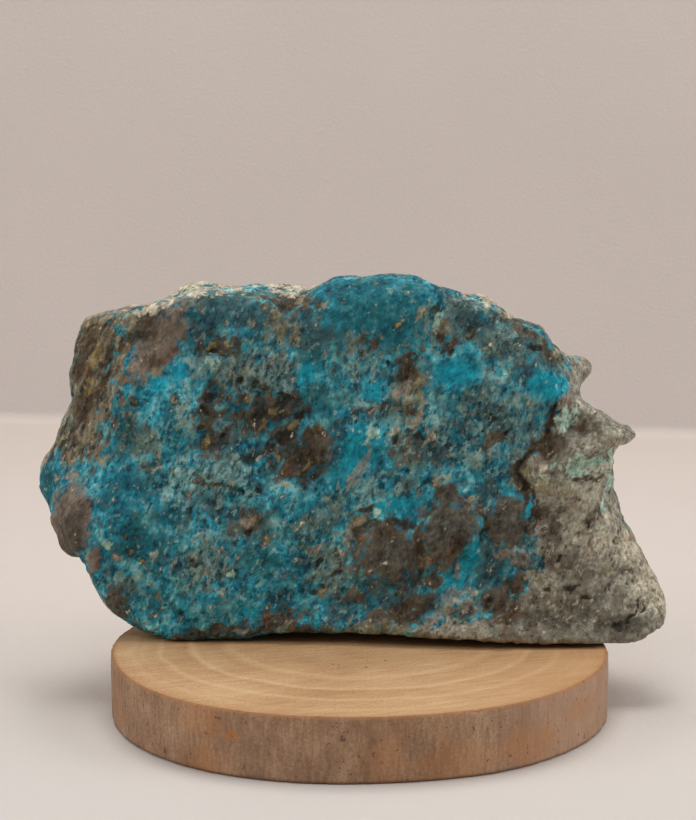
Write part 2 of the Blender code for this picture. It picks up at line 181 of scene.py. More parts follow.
def cloudy(graph, place, given, detail):
    scale = graph.calc("DIVIDE", 1.0, given["Size"])
    made = graph.add("TexNoise", {"Vector": place, "Scale": scale, "Detail": detail})
    centred = graph.calc("SUBTRACT", made.outputs["Fac"], 0.5)
    return graph.scaled(centred, given["Contrast"], 0.5, clamp=True)


def mottleGroup():
    # soft cloudy variation, Size in millimetres
    inputs = {"Vector": (0, 0, 0), "Size": 3.0, "Contrast": 2.0, "Detail": 3.0}
    graph, given, out = startGroup("mottle", inputs, "Value")
    graph.link(cloudy(graph, given["Vector"], given, given["Detail"]), out)
    return graph.tree


def streaksGroup():
    # the same, drawn out Stretch times along one direction
    inputs = {"Vector": (0, 0, 0), "Along": (0, 0, 1), "Size": 1.0, "Stretch": 3.0, "Contrast": 2.0}
    graph, given, out = startGroup("streaks", inputs, "Value")
    dot = graph.vector("DOT_PRODUCT", given["Vector"], given["Along"])
    shrink = graph.calc("SUBTRACT", graph.calc("DIVIDE", 1.0, given["Stretch"]), 1.0)
    shift = graph.vector("SCALE", given["Along"], graph.times(dot, shrink))
    graph.link(cloudy(graph, graph.vector("ADD", given["Vector"], shift), given, 2.5), out)
    return graph.tree


def specksGroup():
    # separate small specks, more of them as Amount goes from 0 to 1
    inputs = {"Vector": (0, 0, 0), "Size": 1.0, "Amount": 0.3, "Softness": 0.03}
    graph, given, out = startGroup("specks", inputs, "Mask")
    scale = graph.calc("DIVIDE", 1.0, given["Size"])
    place = given["Vector"]
    noisy = graph.add("TexNoise", {"Vector": place, "Scale": scale, "Detail": 2.0, "Roughness": 0.6})
    level = graph.scaled(given["Amount"], -0.28, 0.74)
    top = graph.calc("ADD", level, given["Softness"])
    graph.link(graph.fade(noisy.outputs["Fac"], level, top), out)
    return graph.tree


def patchGroup():
    # a soft field, 0.5 at a patch's edge, cut to a mask with a ragged edge
    inputs = {"Field": 0.0, "Wobble": 0.5, "Ragged": 0.4, "Softness": 0.05}
    graph, given, out = startGroup("patch", inputs, "Mask")
    shift = graph.calc("SUBTRACT", given["Wobble"], 0.5)
    field = graph.scaled(shift, given["Ragged"], given["Field"])
    start = graph.calc("SUBTRACT", 0.5, given["Softness"])
    end = graph.calc("ADD", 0.5, given["Softness"])
    graph.link(graph.fade(field, start, end), out)
    return graph.tree


mottle = mottleGroup()
streaks = streaksGroup()
specks = specksGroup()
patch = patchGroup()
print("shader groups built")


# The camera stands at the photograph's viewing angle.
cameraSettings = {
    "place": (-0.00149093, -0.37033601, 0.11339967),
    "downward": 10.0052,  # degrees below level
    "lens": 107.56,
}


def addCamera():
    data = bpy.data.cameras.new("camera")
    data.lens = cameraSettings["lens"]
    data.sensor_width = 36
    data.clip_start = 0.01
    data.clip_end = 50
    camera = bpy.data.objects.new("camera", data)
    camera.location = cameraSettings["place"]
    camera.rotation_euler = (math.radians(90 - cameraSettings["downward"]), 0, 0)
    bpy.context.scene.collection.objects.link(camera)
    bpy.context.scene.camera = camera


addCamera()
print("camera placed")


# The floor sweeps up into a backdrop.
stageSettings = {
    "bendStart": 0.2405,  # metres behind the middle
    "bendRadius": 0.003,
    "bendSteps": 12,
    "skew": -0.125,  # the backdrop turns a little
    "reach": 8.0,
    "height": 3.0,
    "floor": (207, 200, 194),
    # the floor is painted a little darker and warmer towards the back, and the backdrop a little lighter at
    # its foot: painted shade and painted light
    "floorFarShaded": (207, 195, 186),
    "wallFootLit": (206, 196, 190),
    "wall": (204, 193, 186),
}

lightSettings = {
    "overhead": {"place": (0.0, 0.09, 0.60), "aim": (0, 0.02, 0.03), "size": 0.36, "power": 2.3},
    "right": {"place": (0.6, -0.16, 0.34), "aim": (0, 0.0, 0.02), "size": 0.35, "power": 1.75},
    "left": {"place": (-0.6, -0.16, 0.30), "aim": (0, 0.0, 0.02), "size": 0.35, "power": 1.4},
    "front": {"place": (-0.15, -0.55, 0.75), "aim": (0, 0.0, 0.03), "size": 0.4, "power": 1.15},
    "behind": {"place": (0.0, 0.55, 0.60), "aim": (0, 0.02, 0.03), "size": 0.4, "power": 0.5},
}
worldSettings = {"Color": (0.97, 0.985, 1.0, 1), "Strength": 0.2}


def addStage():
    settings = stageSettings
    reach = settings["reach"]
    profile = [(-reach, 0.0), (-0.5, 0.0), (0.0, 0.0), (0.12, 0.0)]
    for part in range(settings["bendSteps"] + 1):
        turn = math.radians(90 * part / settings["bendSteps"])
        y = settings["bendStart"] + settings["bendRadius"] * math.sin(turn)
        profile.append((y, settings["bendRadius"] * (1 - math.cos(turn))))
    profile.append((profile[-1][0], settings["height"]))
    columns = np.linspace(-reach, reach, 9)
    corners = [(x, y + settings["skew"] * x, z) for y, z in profile for x in columns]
    faces = []
    for row in range(len(profile) - 1):
        for column in range(len(columns) - 1):
            first = row * len(columns) + column
            faces.append((first, first + 1, first + 1 + len(columns), first + len(columns)))
    mesh = bpy.data.meshes.new("studioSweep")
    mesh.from_pydata(corners, [], faces)
    mesh.shade_smooth()
    sweep = bpy.data.objects.new("studioSweep", mesh)
    bpy.context.scene.collection.objects.link(sweep)

    material, graph, shader = newMaterial("paperSweep")
    axes = graph.axes()
    # the backdrop's foot is painted lighter (painted light) and the floor darker towards the back (painted
    # shade)
    wall = graph.mix(graph.fade(axes["Z"], 0.0, 70.0), settings["wallFootLit"], settings["wall"])
    depth = graph.fade(axes["Y"], -60.0, 225.0, kind="LINEAR")
    floor = graph.mix(depth, settings["floor"], settings["floorFarShaded"])
    colour = graph.mix(graph.fade(axes["Z"], 0.0, 3.0), floor, wall)
    clouds = graph.texture(mottle, Size=45.0, Contrast=1.2, Detail=2.0)
    fibre = graph.texture(mottle, Size=0.8, Contrast=1.5, Detail=2.0)
    graph.link(graph.shade(colour, graph.scaled(clouds, 0.05, 0.955)), shader.inputs["Base Color"])
    shader.inputs["Roughness"].default_value = 0.95
    shader.inputs["Specular IOR Level"].default_value = 0.15
    graph.bump(shader, fibre, 0.5, 0.00012)
    # seen from its back it is clear, so that no other view is blocked
    clear = graph.add("BsdfTransparent")
    behind = graph.add("NewGeometry").outputs["Backfacing"]
    mixed = graph.add("MixShader", {0: behind, 1: shader.outputs[0], 2: clear.outputs[0]})
    graph.link(mixed.outputs[0], graph.tree.nodes["Material Output"].inputs["Surface"])
    mesh.materials.append(material)


def addLights():
    world = bpy.data.worlds.new("softRoom")
    bpy.context.scene.world = world
    world.use_nodes = True
    for name, value in worldSettings.items():
        world.node_tree.nodes["Background"].inputs[name].default_value = value
    for name, settings in lightSettings.items():
        data = bpy.data.lights.new(name, "AREA")
        data.shape = "SQUARE"
        data.size = settings["size"]
        data.energy = settings["power"]
        light = bpy.data.objects.new(name, data)
        light.location = settings["place"]
        aim = Vector(settings["aim"]) - Vector(settings["place"])
        light.rotation_euler = aim.to_track_quat("-Z", "Y").to_euler()
        bpy.context.scene.collection.objects.link(light)


addStage()
addLights()
bpy.context.scene.view_settings.view_transform = "Standard"
print("stage and lights set")


stoneSettings = {
    "voxel": 0.65,  # millimetres
    "frontAbove": 0.3,  # faces turned this far to the camera are divided once more
    "faceY": 4.0,  # the blue face leans back from here, above the slice's top
    "faceLean": 4.0,  # degrees
    "footZ": 10.0,
    "boxMargin": 0.02,
    "lift": 1.5,
    "grainAlong": (0.42, 0.0, 0.908),  # the stone's grain leans to the right
    "lumpSize": 5.0,
    "lumpHeight": 0.3,
    "grainSize": 1.4,
    "grainHeight": 0.42,
    "crumbSize": 0.7,
    "crumbHeight": 0.22,
    "outward": 0.08,  # makes up for what the softening takes off the rim
    "backLumpSize": 7.0,
    "backLumpHeight": 0.7,
    "wander": ((2.4, 0.75, 3.0), (0.8, 0.3, 23.0)),  # size, amount and place of the noise
    # finishes of the sides and back: size, middle, spread and place of the noise
    "hidden": {
        "host": (9.0, 0.78, 0.8, 31.7),
        "umber": (6.0, 0.26, 0.6, 61.0),
        "olive": (11.0, 0.28, 0.6, 77.0),
        "tan": (3.0, 0.22, 0.55, 19.0),
        "greyBrown": (13.0, 0.3, 0.5, 5.3),
    },
    # places along the stone, or back from its front, where a part of the top starts and ends
    "topFacing": (0.1, 0.5),
    "crustStart": (-38.0, -34.5),
    "crustEnd": (-9.0, -5.0),
    "crustBack": (13.0, 19.0),
    "flakeStart": (15.5, 17.0),
    "flakeEnd": (23.0, 25.0),
    "crownStart": (-7.0, -4.0),
    "crownEnd": (14.0, 17.0),
    "crownBack": (12.0, 18.0),
    "brownRimEnd": (-36.5, -33.0),
}

# Each finish: its darker and lighter colour, how ragged and how soft its edges are, how much of it covers
# what lies under it, how far it stands out or sinks in millimetres, and how much it smooths the grain.
# They are laid over the blue in this order.
broadFinishes = {
    "teal": ((14, 62, 70), (27, 93, 100), 1, 0.2, 0.85, 0, 0.4),
    "deepBlue": ((18, 66, 78), (30, 102, 114), 1, 0.24, 0.65, 0, 0.2),
    "pale": ((66, 104, 104), (142, 172, 164), 1.4, 0.25, 0.6, 0.05, 0),
    "murky": ((38, 52, 50), (100, 112, 100), 1.7, 0.22, 0.72, -0.05, 0),
    "slate": ((30, 46, 52), (60, 78, 80), 1.1, 0.22, 0.78, -0.05, 0.2),
    "host": ((77, 72, 62), (149, 143, 128), 0.9, 0.12, 0.97, 0, 0.3),
    "paleRock": ((108, 103, 90), (172, 166, 146), 1.2, 0.25, 0.75, 0, 0.2),
    "dusk": ((44, 40, 33), (98, 90, 75), 1.3, 0.25, 0.88, 0, 0),
    "strip": ((20, 15, 11), (124, 107, 82), 1.9, 0.16, 0.92, 0, 0),
    "greyBrown": ((70, 58, 48), (126, 109, 93), 0.6, 0.14, 0.95, 0.2, 0.8),
    "knob": ((44, 40, 34), (90, 82, 69), 0.6, 0.1, 0.96, 0.35, 0.5),
    "olive": ((70, 68, 50), (128, 120, 92), 1, 0.2, 0.8, 0.1, 0.2),
    "umber": ((16, 12, 9), (84, 69, 52), 1.4, 0.18, 0.9, -0.2, 0),
    "brightBlue": ((10, 97, 112), (20, 140, 158), 0.6, 0.18, 0.95, -0.1, 0.8),
}
smallFinishes = {
    "black": ((18, 17, 16), (50, 43, 36), 1, 0.2, 0.8, -0.4, 0),
    "rust": ((74, 50, 36), (120, 84, 58), 1.1, 0.25, 0.45, 0, 0),
    "gold": ((90, 76, 46), (150, 132, 88), 1.1, 0.22, 0.65, 0.1, 0),
    "tan": ((94, 82, 62), (152, 138, 110), 1.1, 0.22, 0.62, 0.1, 0),
    "pink": ((88, 81, 71), (150, 142, 127), 1.1, 0.22, 0.68, 0.15, 0.2),
    "mint": ((98, 132, 118), (166, 187, 170), 1.3, 0.2, 0.87, 0.1, 0.2),
    "cream": ((110, 101, 84), (192, 181, 160), 1.2, 0.22, 0.82, 0.1, 0.1),
}

# Patches on the blue face in millimetres: place along it, height above the slice, half length, half width
# and, where it isn't 0, the tilt in degrees.
spots = {
    "teal": [
        (3.5, 51.8, 9.5, 5.4), (-33.3, 15.5, 4, 3), (-25.8, 52.6, 1.8, 0.8, 90), (-38, 49, 2.2, 1.4, 80),
        (-7.5, 45.2, 2, 1.5), (-43.5, 42, 1.6, 1, 80), (-44, 33.2, 1.4, 0.8, 80),
        (-48.5, 26.6, 2.2, 1.2, 75), (-48.8, 23.1, 2.2, 1.4, 90), (-7, 38.5, 2.5, 2, 30),
        (21.8, 46.5, 2.4, 2), (-15.5, 13.5, 3, 2.2, 30), (-36.5, 34, 1.8, 4), (15, 31.5, 3, 2.2, 30),
    ],
    "deepBlue": [
        (-36.5, 24, 4, 3, 70), (-35.3, 6, 3.5, 2.5, 20), (-21.5, 5.2, 4.5, 2.2), (-12, 5.4, 3, 1.8),
        (-25.2, 47.1, 1.8, 0.9, 90), (-10, 21.5, 2.6, 1.8, 20), (-5.5, 18, 3, 2, 30), (17, 37, 3.2, 1.8, 10),
        (-44.3, 28.4, 0.9, 0.9), (1.3, 8.2, 2, 1.6), (21.3, 12.6, 2.4, 1.3, 100), (-29, 33.5, 2, 3.2),
        (-13, 11.5, 3.5, 2, 20), (10, 22.2, 1.6, 2.2), (20, 27.5, 2.5, 2, 30), (-29.5, 20, 2.6, 2),
    ],
    "pale": [
        (-21, 27.2, 4.5, 2.4, 8), (-27, 25.5, 3.5, 2.2, 80), (-23, 44, 3.2, 2), (-14.6, 42, 4.8, 2.6),
        (-32.6, 32, 2.2, 2), (-24, 16.5, 1.6, 1.4), (13.9, 51, 3.4, 3.4), (-3.7, 21.5, 1.4, 1.1),
        (24.6, 47.6, 2.4, 1.8, -20), (1.3, 38, 1.8, 1.1, 20), (22.5, 41.7, 2, 0.7, 55),
        (-24.8, 11.6, 2, 1.8), (2, 25, 2.6, 1.4, 50), (-3, 10, 2.4, 2.6), (-4.5, 14.5, 2, 1.8),
        (17.5, 49, 1, 0.8), (-26.5, 36, 1.5, 3), (18.5, 29.5, 2, 1.4, 40), (4.5, 35, 3.2, 1.4, 30),
        (12.5, 35.5, 1.5, 2.4),
    ],
    "brightBlue": [
        (0.4, 30.3, 5.8, 3.3, 55), (2.2, 33.4, 2.6, 1.7, 10), (29.4, 40.7, 2.7, 2.1, -40),
        (-28.2, 43, 1.8, 1.5, 90), (-31.4, 41.1, 1.5, 1.2), (-8.4, 42.5, 2, 1.5, 30),
        (2.8, 39.9, 2.1, 1.4, 20), (6.3, 22, 2.8, 1.7), (15.5, 42.7, 3.5, 2.2), (17.7, 13.8, 3.2, 1.3, 75),
        (14.9, 9.4, 3, 1.3, 48), (26.7, 21.3, 1.8, 0.45, 85), (-17.2, 5, 1.6, 1.2),
        (-33.2, 37.6, 1.2, 0.8, 40),
    ],
    "slate": [
        (-20.5, 53, 3.2, 2), (-7.2, 48.4, 3, 2.5), (-22.7, 22, 2.5, 2), (-3.2, 31.5, 3, 1.6, 80),
        (26.3, 42.5, 2.4, 1.8, 30), (23, 9.4, 2.6, 2), (25.8, 4, 2.2, 1.2), (7.2, 8, 2.8, 2),
        (-42.3, 46.4, 1.8, 0.9, 80), (2.5, 27.8, 1.5, 1, 40), (10, 5.2, 3, 1.6, 10), (-15.6, 49.8, 1.8, 1.6),
        (-17.5, 52, 5, 2.4, 5), (-9.5, 50.2, 4, 2.8), (6.5, 6, 4.6, 2.2), (-23.5, 50, 2.4, 1.8, 30),
        (20.5, 24, 2.4, 1.6, 40), (3.5, 9.5, 2.4, 1.6), (20.6, 10.8, 2, 2.6), (27, 47.6, 3.4, 1.4, -40),
        (17.4, 50.6, 2.6, 1.6, -20), (-2.5, 5.5, 2.4, 2), (12.6, 30.2, 1.8, 1.6), (21.8, 13, 3.4, 3.4),
        (26.2, 22.6, 3.6, 1.6, 80), (27, 13, 1.6, 3), (16, 22.6, 1.8, 1.4),
    ],
    "murky": [
        (21.8, 47, 5.6, 3.2, -25), (23, 34, 5.6, 6, 20), (8.4, 41, 3.8, 4.6, 20), (9.6, 30.4, 4.2, 3),
        (0.6, 46, 3.4, 2.8, -30), (2.8, 35.8, 3.4, 1.8, 20), (-17.2, 43, 7.6, 3.6, -10), (-21.6, 34, 4, 4.6),
        (-17, 18.6, 3, 3), (-4.6, 11.6, 3.6, 4), (13.6, 49, 3.4, 4), (7.6, 24.6, 3, 2),
        (-33.8, 32, 2, 4, 20), (-24, 12.2, 3.4, 3), (19.6, 39.8, 3, 2.4), (-6, 20, 3, 2.4, 40),
        (8, 5.8, 5.4, 3.4), (23, 6, 4, 3.6), (-37, 9.6, 2.2, 3, 70), (25, 28.4, 2, 3.4), (16.4, 4.6, 4.6, 3),
    ],
    "paleRock": [
        (36.5, 23.5, 4.2, 3.6, -40), (40, 16.5, 2.4, 6, 25), (39, 31.8, 4, 1.3, 16), (34, 19, 2.6, 4, 30),
        (29.5, 8.5, 2, 3.2, 50), (18, 1.5, 6.5, 1.5), (43, 8.5, 2, 5, 35), (28.8, 24.6, 3, 1, -8),
    ],
    "dusk": [
        (31.5, 4.6, 9.5, 3.6, 6), (24, 3.6, 3.6, 2.4), (30.5, 31, 2, 3.6, -25), (41, 3, 4, 2.2),
        (30.5, 18.5, 3.4, 1.8, 70), (35, 34.6, 3.6, 1.5, -30), (33.5, 11.5, 4, 1.6, -35),
        (37.4, 20.4, 3, 1, 60), (7, 30.8, 3, 2.6),
    ],
    "host": [
        (34.8, 42.6, 2.6, 2.4), (17.3, 1.8, 7.8, 2.4), (31.6, 46.2, 1.5, 1, -50),
    ],
    "greyBrown": [
        (-31, 47.5, 7.2, 3.2, 58), (-44.8, 19.3, 6.2, 3, 82), (-41.4, 13, 2, 0.9, 80),
    ],
    "knob": [
        (14.3, 17.2, 5.8, 4.8, 60), (4.9, 14.3, 5.7, 4.6), (13.8, 23.4, 2.3, 1.8, 90),
        (23.4, 19.2, 4.2, 3.3, 80), (32, 21.3, 1, 0.6), (31, 18.5, 1.1, 0.6, 20), (-6.4, 31.2, 2.7, 3, 20),
        (-38.2, 6.2, 3, 1.9, 75), (9.5, 6.6, 2.5, 1.6), (4, 4, 2.4, 1.2), (-0.5, 7.5, 1.5, 1.2),
        (12, 10.2, 1.4, 1.8, 60), (21.5, 7, 2.4, 1.6, 30), (25.4, 9.6, 1.6, 1.2, 60),
        (-44.2, 17.6, 3.4, 1.4, 80),
    ],
    "olive": [
        (-12, 49.7, 2.4, 2.1), (29, 25.3, 4.2, 1.5, -8), (26.5, 27.4, 1, 1), (2.8, 1.8, 8.8, 1.7),
        (-11.5, 2.5, 2, 1), (-0.2, 19.4, 2, 1.1, 40), (-7.8, 28.3, 1.5, 1, 45), (8.4, 40.2, 3.8, 1.9, 75),
        (13, 49.8, 1.8, 1.2, 70), (-6.2, 33.5, 1.4, 1, 60),
    ],
    "umber": [
        (-33.6, 49.8, 4.2, 1.8, 54), (-31.6, 44.4, 1.2, 0.9), (-41.6, 48, 3, 1.8, 85),
        (-43.2, 43.6, 3, 1.2, 80), (-42, 38.5, 3, 1.4, 75), (-38.6, 45.6, 3, 0.6, 70),
        (-39.4, 41.4, 2.6, 0.5, 70), (-38.9, 33, 2.4, 0.5, 65), (-21.4, 46.8, 3, 2), (-10.8, 53.9, 4.6, 1.8),
        (1.9, 47.6, 1.2, 1), (-8.8, 30, 4.6, 4.2), (-12.4, 4, 3.6, 1.5, 5), (7.4, 4.8, 3.2, 1.7),
        (23.4, 4.8, 2.8, 1.7), (24.2, 8.6, 1.6, 1.8), (-23.4, 36.8, 1.6, 3.4, -20),
        (7.6, 44.6, 2.6, 1.2, 20), (21, 32.2, 1.6, 1, 30), (-35.6, 48.4, 3.2, 1.2, 65),
        (2.2, 37.1, 2.8, 0.55, 22), (7.7, 42.2, 1.8, 0.9, 10), (8.5, 37, 1.1, 0.9),
        (13.9, 47.6, 1.7, 1.2, -20), (12.3, 52.8, 1.3, 0.6, 40), (-22.6, 31.7, 2.8, 2), (35, 34, 0.7, 0.5),
        (29.8, 30, 1.7, 1.2, 20), (-22.6, 1.7, 5.4, 1.1, 10), (-8, 2, 3, 0.9), (4.6, 18, 4.8, 1.2, 8),
        (22, 6.4, 1.8, 1, 20), (1.1, 21.5, 2.4, 0.5, 25), (-22, 24.9, 3.1, 0.45, -8), (-25.3, 1.6, 2.2, 1),
        (-14, 36.8, 5.8, 3), (-11.2, 32.5, 3.4, 2.2), (-17.4, 19.3, 2, 2), (29, 21, 1.2, 0.8, 40),
        (-15.5, 2.2, 2.5, 1, 10), (11.2, 13.6, 0.6, 0.8), (16.5, 4.9, 2, 0.9, 10), (14.8, 15.5, 1.6, 1, 70),
    ],
    "black": [
        (-23.1, 39.1, 0.9, 0.6, 60), (-24, 36.5, 1.1, 0.6, -50), (-16.2, 29.5, 1.7, 1, 25),
        (-11.9, 38, 1.3, 0.8, 40), (-11.2, 32.3, 1.2, 0.8, 40), (0.8, 45.3, 0.5, 0.4), (4.4, 44, 0.6, 0.45),
        (14.7, 45.7, 0.7, 0.5), (27.6, 46.6, 1.2, 0.45, -20), (9.6, 32.8, 0.7, 0.55, 60),
        (5.6, 32, 0.6, 0.5, 60), (33, 34.4, 0.45, 0.45), (34, 8.8, 1.1, 0.5, 25), (36, 7.1, 1, 0.35, 10),
        (28, 21, 1.7, 0.45, 85), (20.6, 6.5, 1.3, 0.4, 60), (16.8, 5.5, 1.4, 0.6, 10),
        (41.6, 2.6, 1.4, 0.6, 5), (36.3, 19.1, 0.6, 0.35, 60), (-44.1, 31.3, 0.35, 0.35),
        (44, 11, 0.3, 0.25), (44.5, 12.5, 0.3, 0.2), (46.5, 10.1, 0.35, 0.25), (42.5, 11.4, 0.3, 0.2),
        (-17.8, 24, 0.5, 0.4, 60), (-15.6, 24.2, 0.5, 0.4, 60), (-6, 12.8, 0.6, 0.4, 60),
        (-2.9, 11.3, 0.8, 0.5, 20), (-6.8, 8.2, 0.6, 0.5, 60), (-17.2, 18, 0.7, 0.5, 60),
        (11.4, 25.7, 0.9, 0.6, 60), (-20.4, 45.6, 1, 0.5, 50), (-22.4, 45.6, 0.6, 0.5),
        (-18.3, 41.6, 0.8, 0.4, 70), (-16, 40.7, 0.8, 0.4, 70), (-13.6, 43.6, 0.6, 0.4, 70),
        (0.5, 57.9, 0.6, 0.3), (10.2, 57, 0.6, 0.3), (-15.6, 36.2, 1.2, 0.8, 30), (-9.4, 35.5, 1, 0.7, 50),
        (-24.7, 33.4, 0.8, 0.4, 60), (-21.2, 33, 0.7, 0.4, 60), (-7, 26.4, 0.8, 0.6, 30),
        (-13.6, 31, 0.9, 0.6, 60), (7.8, 27.6, 0.5, 0.4), (21.4, 35, 0.8, 0.4, 20), (23, 33.3, 0.7, 0.4, 40),
        (19.6, 33.8, 0.5, 0.4), (38.2, 19.9, 0.3, 0.25), (30, 8.5, 0.7, 0.4, 20), (31.8, 13.4, 0.5, 0.3, 60),
        (34.2, 15.2, 0.5, 0.3, 30),
    ],
    "rust": [
        (-28.8, 46, 2.3, 0.4, 45), (-41.8, 43.2, 1.4, 0.8, 80), (-22.7, 30.3, 1.1, 0.7, 10),
        (-1, 46.3, 0.9, 0.6, 70), (10.7, 41.2, 0.9, 0.5, 80), (13.9, 51.3, 0.9, 0.5, 85),
        (14.9, 47.5, 0.7, 0.5), (-2.7, 12.6, 0.8, 0.8), (10, 20.7, 1, 0.5, 80), (1.5, 17, 0.8, 0.6),
        (32.5, 38, 1.3, 0.6, 50), (-19.2, 17.5, 0.9, 0.6), (27.5, 2, 1, 0.7), (23.3, 2.3, 0.8, 0.6),
        (19, 5.5, 1.2, 0.8, 30), (-14.1, 4.2, 1.1, 0.9), (35.3, 17.6, 1, 0.6), (-23.7, 11, 0.5, 0.4, 60),
        (-10.6, 27.5, 1.1, 0.8, 20), (33.6, 21.8, 1, 0.6, 40), (-20.2, 45.9, 0.8, 0.4, 50),
        (-27.6, 0.8, 1, 0.5), (-33, 4.4, 0.6, 0.5),
    ],
    "gold": [
        (-16.9, 38.3, 0.9, 0.5, 50), (-14.2, 34.8, 1, 0.5, 50), (-7.8, 28.1, 0.8, 0.4, 45),
        (-14.5, 15.6, 0.8, 0.6, 50), (13.5, 26, 0.8, 0.5, 40), (-34, 12.9, 0.5, 0.45),
        (-5.6, 8.2, 0.9, 0.6, 50), (-40.5, 45.8, 2.6, 0.5, 78), (-41.9, 41, 1.5, 0.7, 80),
        (9.7, 41.4, 0.8, 0.6), (-17.9, 42.4, 0.7, 0.3, 70), (6.2, 49.6, 0.6, 0.5),
        (41.7, 16.5, 0.9, 0.6, 40), (38.8, 11.4, 1, 0.6, 60), (-23.5, 32.4, 0.7, 0.4, 50),
        (-21.5, 31.4, 0.7, 0.4, 50), (-9.9, 34.2, 0.7, 0.4, 50), (-12.8, 29.4, 0.8, 0.4, 50),
        (-22.6, 46.9, 0.6, 0.5, 60), (-13.2, 36.8, 0.7, 0.35, 50),
    ],
    "tan": [
        (-36.2, 52.2, 2.3, 0.7, 20), (-35.4, 51, 1.3, 1, 60), (-42.2, 33.3, 2.9, 0.8, 65),
        (-45, 26.6, 1.4, 0.8, 30), (-31.5, 42.8, 1.4, 0.7, 30), (-38.8, 38.5, 2.3, 0.6, 75),
        (-12.4, 51.6, 0.8, 0.6), (9.9, 51.5, 0.9, 0.7), (-0.3, 26.7, 4.5, 0.75, 55), (0, 19.6, 1.3, 0.6, 40),
        (-11.2, 24.9, 1.1, 0.6, 20), (10.6, 12.9, 1, 0.7, 60), (27.3, 10.9, 1.5, 0.5, 50),
        (31.4, 46.2, 1.3, 0.9, -50), (38.8, 28.4, 1, 1), (-18.7, 2, 1.1, 0.5), (-35, 38.2, 0.5, 0.4),
        (-31.1, 7.1, 0.6, 0.5), (-20.3, 47.3, 0.6, 0.5), (-13.9, 53.3, 0.6, 0.5, 60),
        (-9, 53.8, 0.6, 0.4, 60), (-35.6, 14.3, 0.3, 0.15, 50), (-39.6, 31.6, 1, 0.4, 60),
        (5.6, 33.7, 0.9, 0.5, 50), (10.6, 31.6, 0.8, 0.4, 60), (10.5, 37.8, 1, 0.6, 70), (-5, 53, 0.6, 0.4),
        (-24.6, 2.4, 0.9, 0.4), (8.6, 34.8, 1.4, 0.8, 50), (-32.6, 9.8, 0.5, 0.4), (-11, 3.2, 0.6, 0.4),
        (18.4, 22.2, 1.2, 0.7, 30), (-1.5, 16.6, 0.8, 1.4), (-39.8, 28.8, 0.9, 0.4, 70),
        (-39.6, 36.6, 3.2, 0.6, 65), (-41, 34.6, 2.4, 0.6, 65), (-40.2, 31, 1.8, 0.5, 65),
        (-37.6, 47.4, 1.6, 0.4, 70), (-36.4, 45.6, 1.4, 0.4, 70),
    ],
    "pink": [
        (-37.7, 13.9, 0.6, 0.5), (-26.9, 23.6, 0.8, 0.6, 80), (-32, 14, 0.7, 0.6),
        (-21.1, 11.8, 0.9, 0.5, 60), (-17.6, 19.6, 1.2, 1, 40), (6.2, 38.5, 0.8, 0.6), (-7, 14.8, 1, 0.7),
        (25, 13.7, 2.9, 1.25, -15), (15.3, 6.8, 2.6, 1.7, -10), (12.8, 4, 2.2, 0.8, 62),
        (20.5, 54, 1.2, 0.5, -25), (-16.6, 50.2, 0.8, 0.6, 60), (7, 39.6, 1.7, 1.1, 60),
        (12.2, 26.3, 1, 0.4, 20), (15.7, 12, 1.2, 0.4, 65), (9.8, 35.8, 0.9, 0.5, 70),
    ],
    "mint": [
        (32.4, 35.6, 1.9, 1.1, 70), (35.8, 28.3, 4.9, 1.6, 8), (3.1, 21, 0.6, 0.6), (-19.6, 10.9, 0.8, 0.6),
        (39.4, 24.3, 2.2, 0.4, 75), (12.6, 51.4, 1.3, 0.7, 60), (2.2, 33.2, 1.4, 0.8, 55),
        (-39.1, 15.8, 0.8, 0.6), (38.4, 22, 0.5, 0.9, 20), (-23.2, 44.2, 1.2, 0.8),
    ],
    "cream": [
        (-24.6, 55.9, 2.8, 0.7, 8), (-18.5, 56.3, 1.7, 0.4), (-9.2, 55.7, 1.5, 0.45),
        (19.9, 54.3, 2.8, 0.8, -27), (23.8, 51.7, 0.9, 0.4, -30), (-28.5, 38.5, 0.5, 0.4),
        (45.8, 7.6, 1.8, 1.2, -70), (37.6, 27.6, 1.8, 0.6, 8), (-15, 29.3, 0.6, 0.25, 60),
        (2.7, 37.2, 0.8, 0.35, 40), (18.2, 8.1, 0.35, 0.3), (36.5, 18.3, 0.5, 0.45, 70),
        (28.8, 28, 0.9, 0.5, 20), (34.7, 37.8, 0.9, 0.4), (45.3, 10.8, 3.4, 2.4, -60),
        (39.3, 20.6, 0.7, 0.35, 70), (-33.4, 44.4, 0.2, 0.2), (-42.3, 30, 0.5, 0.3, 80),
        (-32.2, 1.7, 0.35, 0.25), (38, 15.6, 1, 0.6, 60), (36.6, 14.2, 0.8, 0.4, 60),
        (38.4, 16.9, 0.8, 0.6, 40), (-34.4, 12.5, 0.25, 0.25), (-27.7, 10.5, 0.5, 0.4),
        (-10.3, 42.2, 0.8, 0.35, 70), (-11.6, 39.7, 0.5, 0.3, 60), (-2.4, 14.2, 0.7, 0.4, 40),
        (42, 14, 0.8, 0.5, -60),
    ],
}

